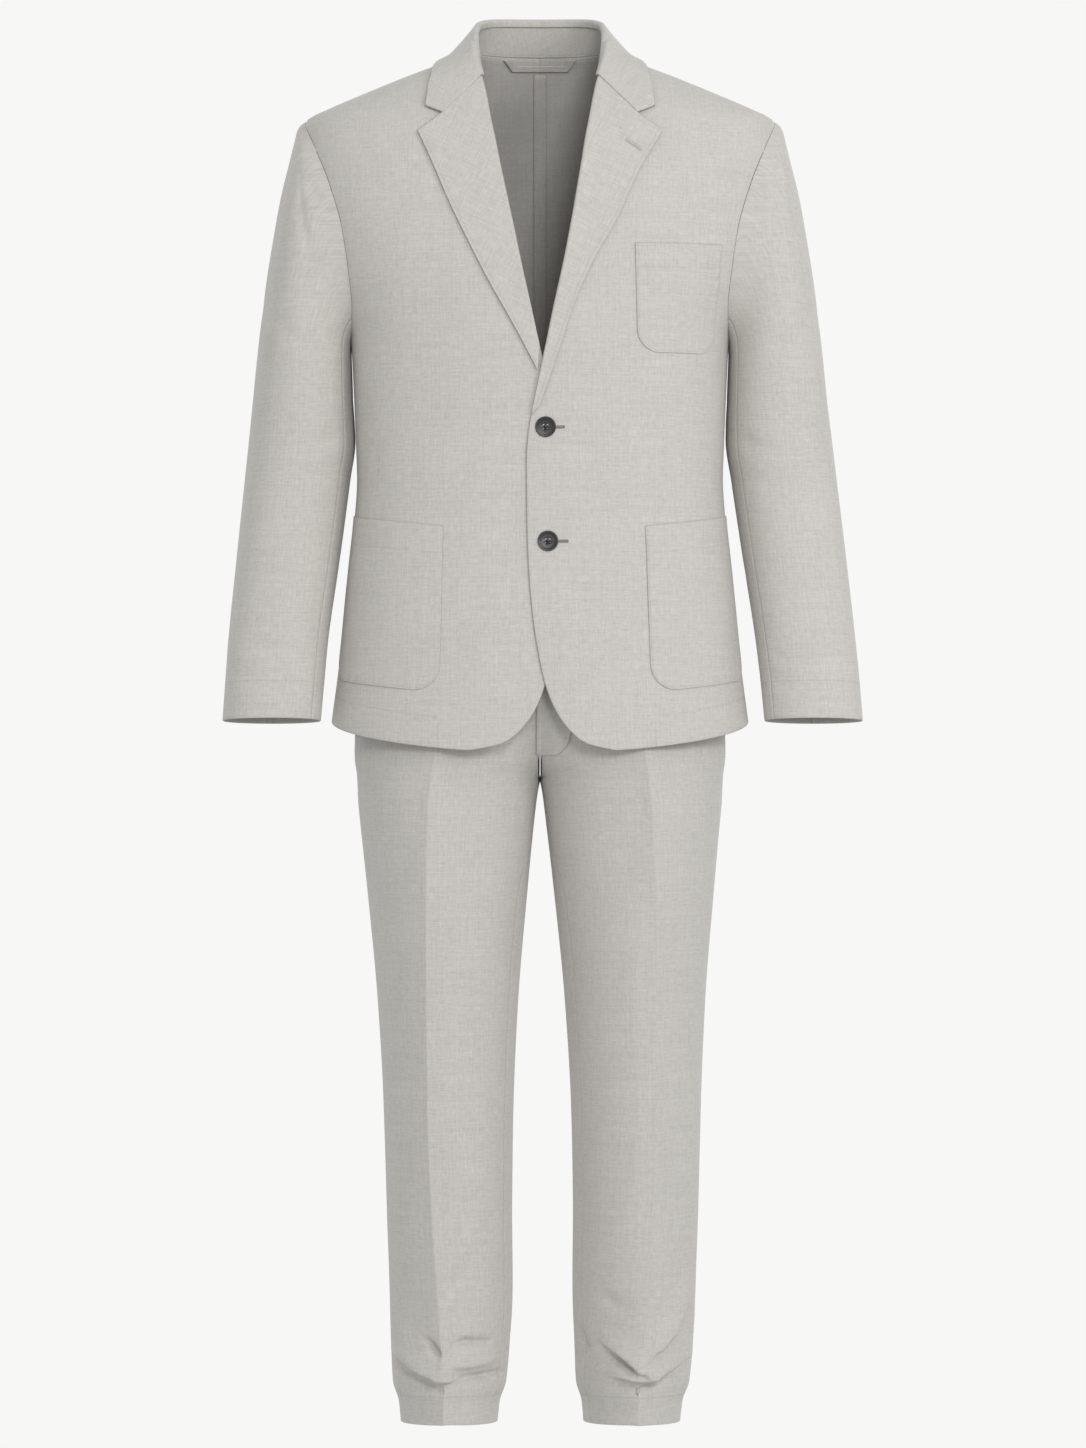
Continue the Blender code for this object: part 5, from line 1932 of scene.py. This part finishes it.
SLEEVE_FOLDS = {
    (Side.LEFT, Face.FRONT): Folds(paths=(
        Path(70, 50, ((2548, -1068, -7), (2527, -1279, -24), (2496, -1637, -27), (2401, -2058, -5))),
        Path(60, 60, ((2380, -1405, -5), (2296, -1595, -20), (2190, -1784, -5))),
        Path(70, 90, ((2064, -3996, -8), (2232, -4143, -27), (2527, -4227, -7))),
        Path(80, 90, ((2127, -4459, -5), (2401, -4564, -19), (2780, -4501, -5))),
        Path(90, 90, ((2927, -2753, -3), (2685, -3048, -20), (2296, -3195, -5))),
        Path(60, 60, ((2401, -6333, -3), (2580, -6439, -24), (2780, -6407, -7))),
        Path(70, 70, ((2359, -6565, -3), (2548, -6670, -22), (2738, -6649, -5))),
    )),
    (Side.LEFT, Face.BACK): Folds(paths=(
        Path(80, 80, ((2948, -2753, -7), (2611, -3027, -25), (2211, -3174, -7))),
        Path(70, 70, ((2053, -3701, -7), (2422, -3869, -31), (2927, -3785, -7))),
        Path(70, 70, ((2085, -4185, -7), (2527, -4333, -25), (2991, -4248, -7))),
        Path(80, 80, ((2211, -5491, -5), (2632, -5701, -19), (3106, -5596, -5))),
    )),
    (Side.RIGHT, Face.FRONT): Folds(paths=(
        Path(70, 50, ((2564, -1174, -7), (2548, -1384, -24), (2506, -1795, -27), (2422, -2184, -5))),
        Path(60, 60, ((2496, -1321, -5), (2380, -1511, -22), (2232, -1700, -7))),
        Path(90, 70, ((2053, -3954, -8), (2211, -4080, -27), (2527, -4185, -7))),
        Path(90, 80, ((2106, -4396, -5), (2401, -4480, -20), (2780, -4438, -5))),
        Path(90, 90, ((2927, -2648, -3), (2685, -2964, -20), (2296, -3174, -5))),
        Path(90, 80, ((3243, -6102, -3), (2927, -6291, -19), (2527, -6333, -5))),
        Path(80, 70, ((3159, -6607, -3), (2843, -6733, -15), (2569, -6691, -3))),
    )),
    (Side.RIGHT, Face.BACK): Folds(paths=(
        Path(80, 80, ((2969, -2648, -7), (2632, -2964, -27), (2211, -3122, -7))),
        Path(70, 70, ((2053, -3648, -7), (2422, -3806, -31), (2927, -3701, -7))),
        Path(70, 70, ((2085, -4122, -7), (2527, -4248, -27), (2991, -4185, -7))),
        Path(80, 80, ((2211, -5386, -5), (2632, -5575, -19), (3106, -5512, -5))),
    )),
}
LEG_FOLDS = {
    (Side.LEFT, Face.FRONT): Folds(paths=(
        Path(120, 28, ((599, -13583, 0), (740, -13654, 43), (895, -13745, 65), (1036, -13844, 65),
                       (1128, -13936, 29))),
        Path(40, 50, ((663, -13715, -13), (821, -13799, -75), (969, -13894, -88), (1064, -13968, -25))),
        Path(120, 28, ((716, -13971, 9), (895, -13957, 60), (1008, -13978, 85), (1093, -13978, 85),
                       (1234, -13936, 68), (1375, -13894, 43), (1516, -13862, 9))),
        Path(40, 60, ((821, -14083, -13), (1011, -14115, -40), (1158, -14073, -50), (1348, -14020, -20))),
        Path(28, 130, ((1622, -12862, 0), (1572, -13115, 25), (1502, -13357, 51), (1403, -13513, 60),
                       (1276, -13654, 60), (1135, -13767, 17))),
        Path(60, 60, ((1601, -13262, -8), (1537, -13452, -50), (1579, -13673, -8))),
        Path(40, 50, ((421, -13525, -13), (484, -13704, -50), (421, -13904, -13))),
        Path(80, 80, ((611, -13072, -8), (758, -13209, -30), (927, -13283, -8))),
    )),
    (Side.LEFT, Face.BACK): Folds(paths=(
        Path(120, 65, ((474, -13725, 0), (790, -13831, 26), (1106, -13936, 40), (1422, -13894, 22),
                       (1579, -13767, 0))),
        Path(40, 70, ((548, -13936, -8), (863, -14031, -40), (1211, -14083, -40), (1516, -13978, -8))),
        Path(90, 90, ((474, -9492, -8), (948, -9724, -26), (1632, -9703, -8))),
        Path(80, 80, ((526, -10145, -6), (1053, -10272, -21), (1579, -10208, -6))),
        Path(90, 90, ((232, -7965, -8), (790, -8387, -26), (1579, -8545, -6))),
    )),
    (Side.RIGHT, Face.FRONT): Folds(paths=(
        Path(28, 130, ((1593, -13757, 0), (1506, -13794, 31), (1411, -13836, 55), (1227, -13915, 73),
                       (1057, -13984, 73), (958, -13999, 49), (906, -14010, 12))),
        Path(70, 45, ((1558, -13894, 0), (1411, -13962, -30), (1232, -14052, -53), (1074, -14104, -45),
                      (958, -14104, 0))),
        Path(28, 130, ((1572, -13131, 0), (1508, -13343, 25), (1458, -13567, 43), (1445, -13710, 43),
                       (1382, -13810, 17))),
        Path(70, 70, ((969, -13831, 37), (769, -13820, 75), (558, -13810, 50))),
        Path(40, 40, ((888, -13639, -20), (775, -13610, -63), (550, -13639, -37))),
        Path(40, 40, ((1221, -13578, -13), (1148, -13652, -75), (1085, -13736, -75))),
        Path(50, 35, ((821, -13999, -30), (611, -13989, -75), (432, -13978, -37))),
        Path(80, 80, ((737, -12725, -8), (842, -12925, -37), (948, -13115, -13))),
    )),
    (Side.RIGHT, Face.BACK): Folds(paths=(
        Path(65, 120, ((1527, -13599, 0), (1264, -13767, 31), (948, -13873, 40), (632, -13852, 18),
                       (463, -13789, 0))),
        Path(70, 50, ((1422, -13810, -8), (1137, -13978, -48), (758, -14041, -32), (526, -13999, -8))),
        Path(90, 90, ((653, -9387, -8), (1053, -9619, -29), (1558, -9682, -8))),
        Path(80, 80, ((611, -10019, -6), (948, -10124, -22), (1422, -10061, -6))),
        Path(90, 90, ((211, -7913, -8), (737, -8281, -26), (1474, -8439, -6))),
    )),
}


def main() -> None:
    """Builds the studio and then the suit, piece by piece."""
    logging.basicConfig(level=logging.INFO, format="%(message)s")
    Studio().build()
    linen = LinenFinish("suit_linen").material()
    turned = LinenFinish("lapel_linen", grain_turn=math.radians(25)).material()
    horn = HornFinish("button_horn").material()
    thread = ThreadFinish("dark_thread", (0.02, 0.02, 0.02)).material()
    JacketBody(linen).build()
    Lapels(turned).build()
    Collar(turned).build()
    Sleeves(linen).build()
    Pockets(linen).build()
    BackNeck(linen).build()
    Trousers(linen).build()
    ButtonRow(horn, thread).build()
    pale = ThreadFinish("pale_thread", (0.62, 0.60, 0.56)).material()
    grey = ThreadFinish("grey_thread", (0.20, 0.195, 0.19)).material()
    Buttonhole("thread_hole_top", (0.0040, -0.4022), (0.0248, -0.4016), 0.0001, grey).build()
    Buttonhole("thread_hole_bottom", (0.0060, -0.5212), (0.0281, -0.5205), 0.0001, grey).build()
    Buttonhole("thread_hole_lapel", (0.0897, -0.1007), (0.1058, -0.1117), DOUBLE + REST + 0.0015, pale).build()


if __name__ == "__main__":
    main()
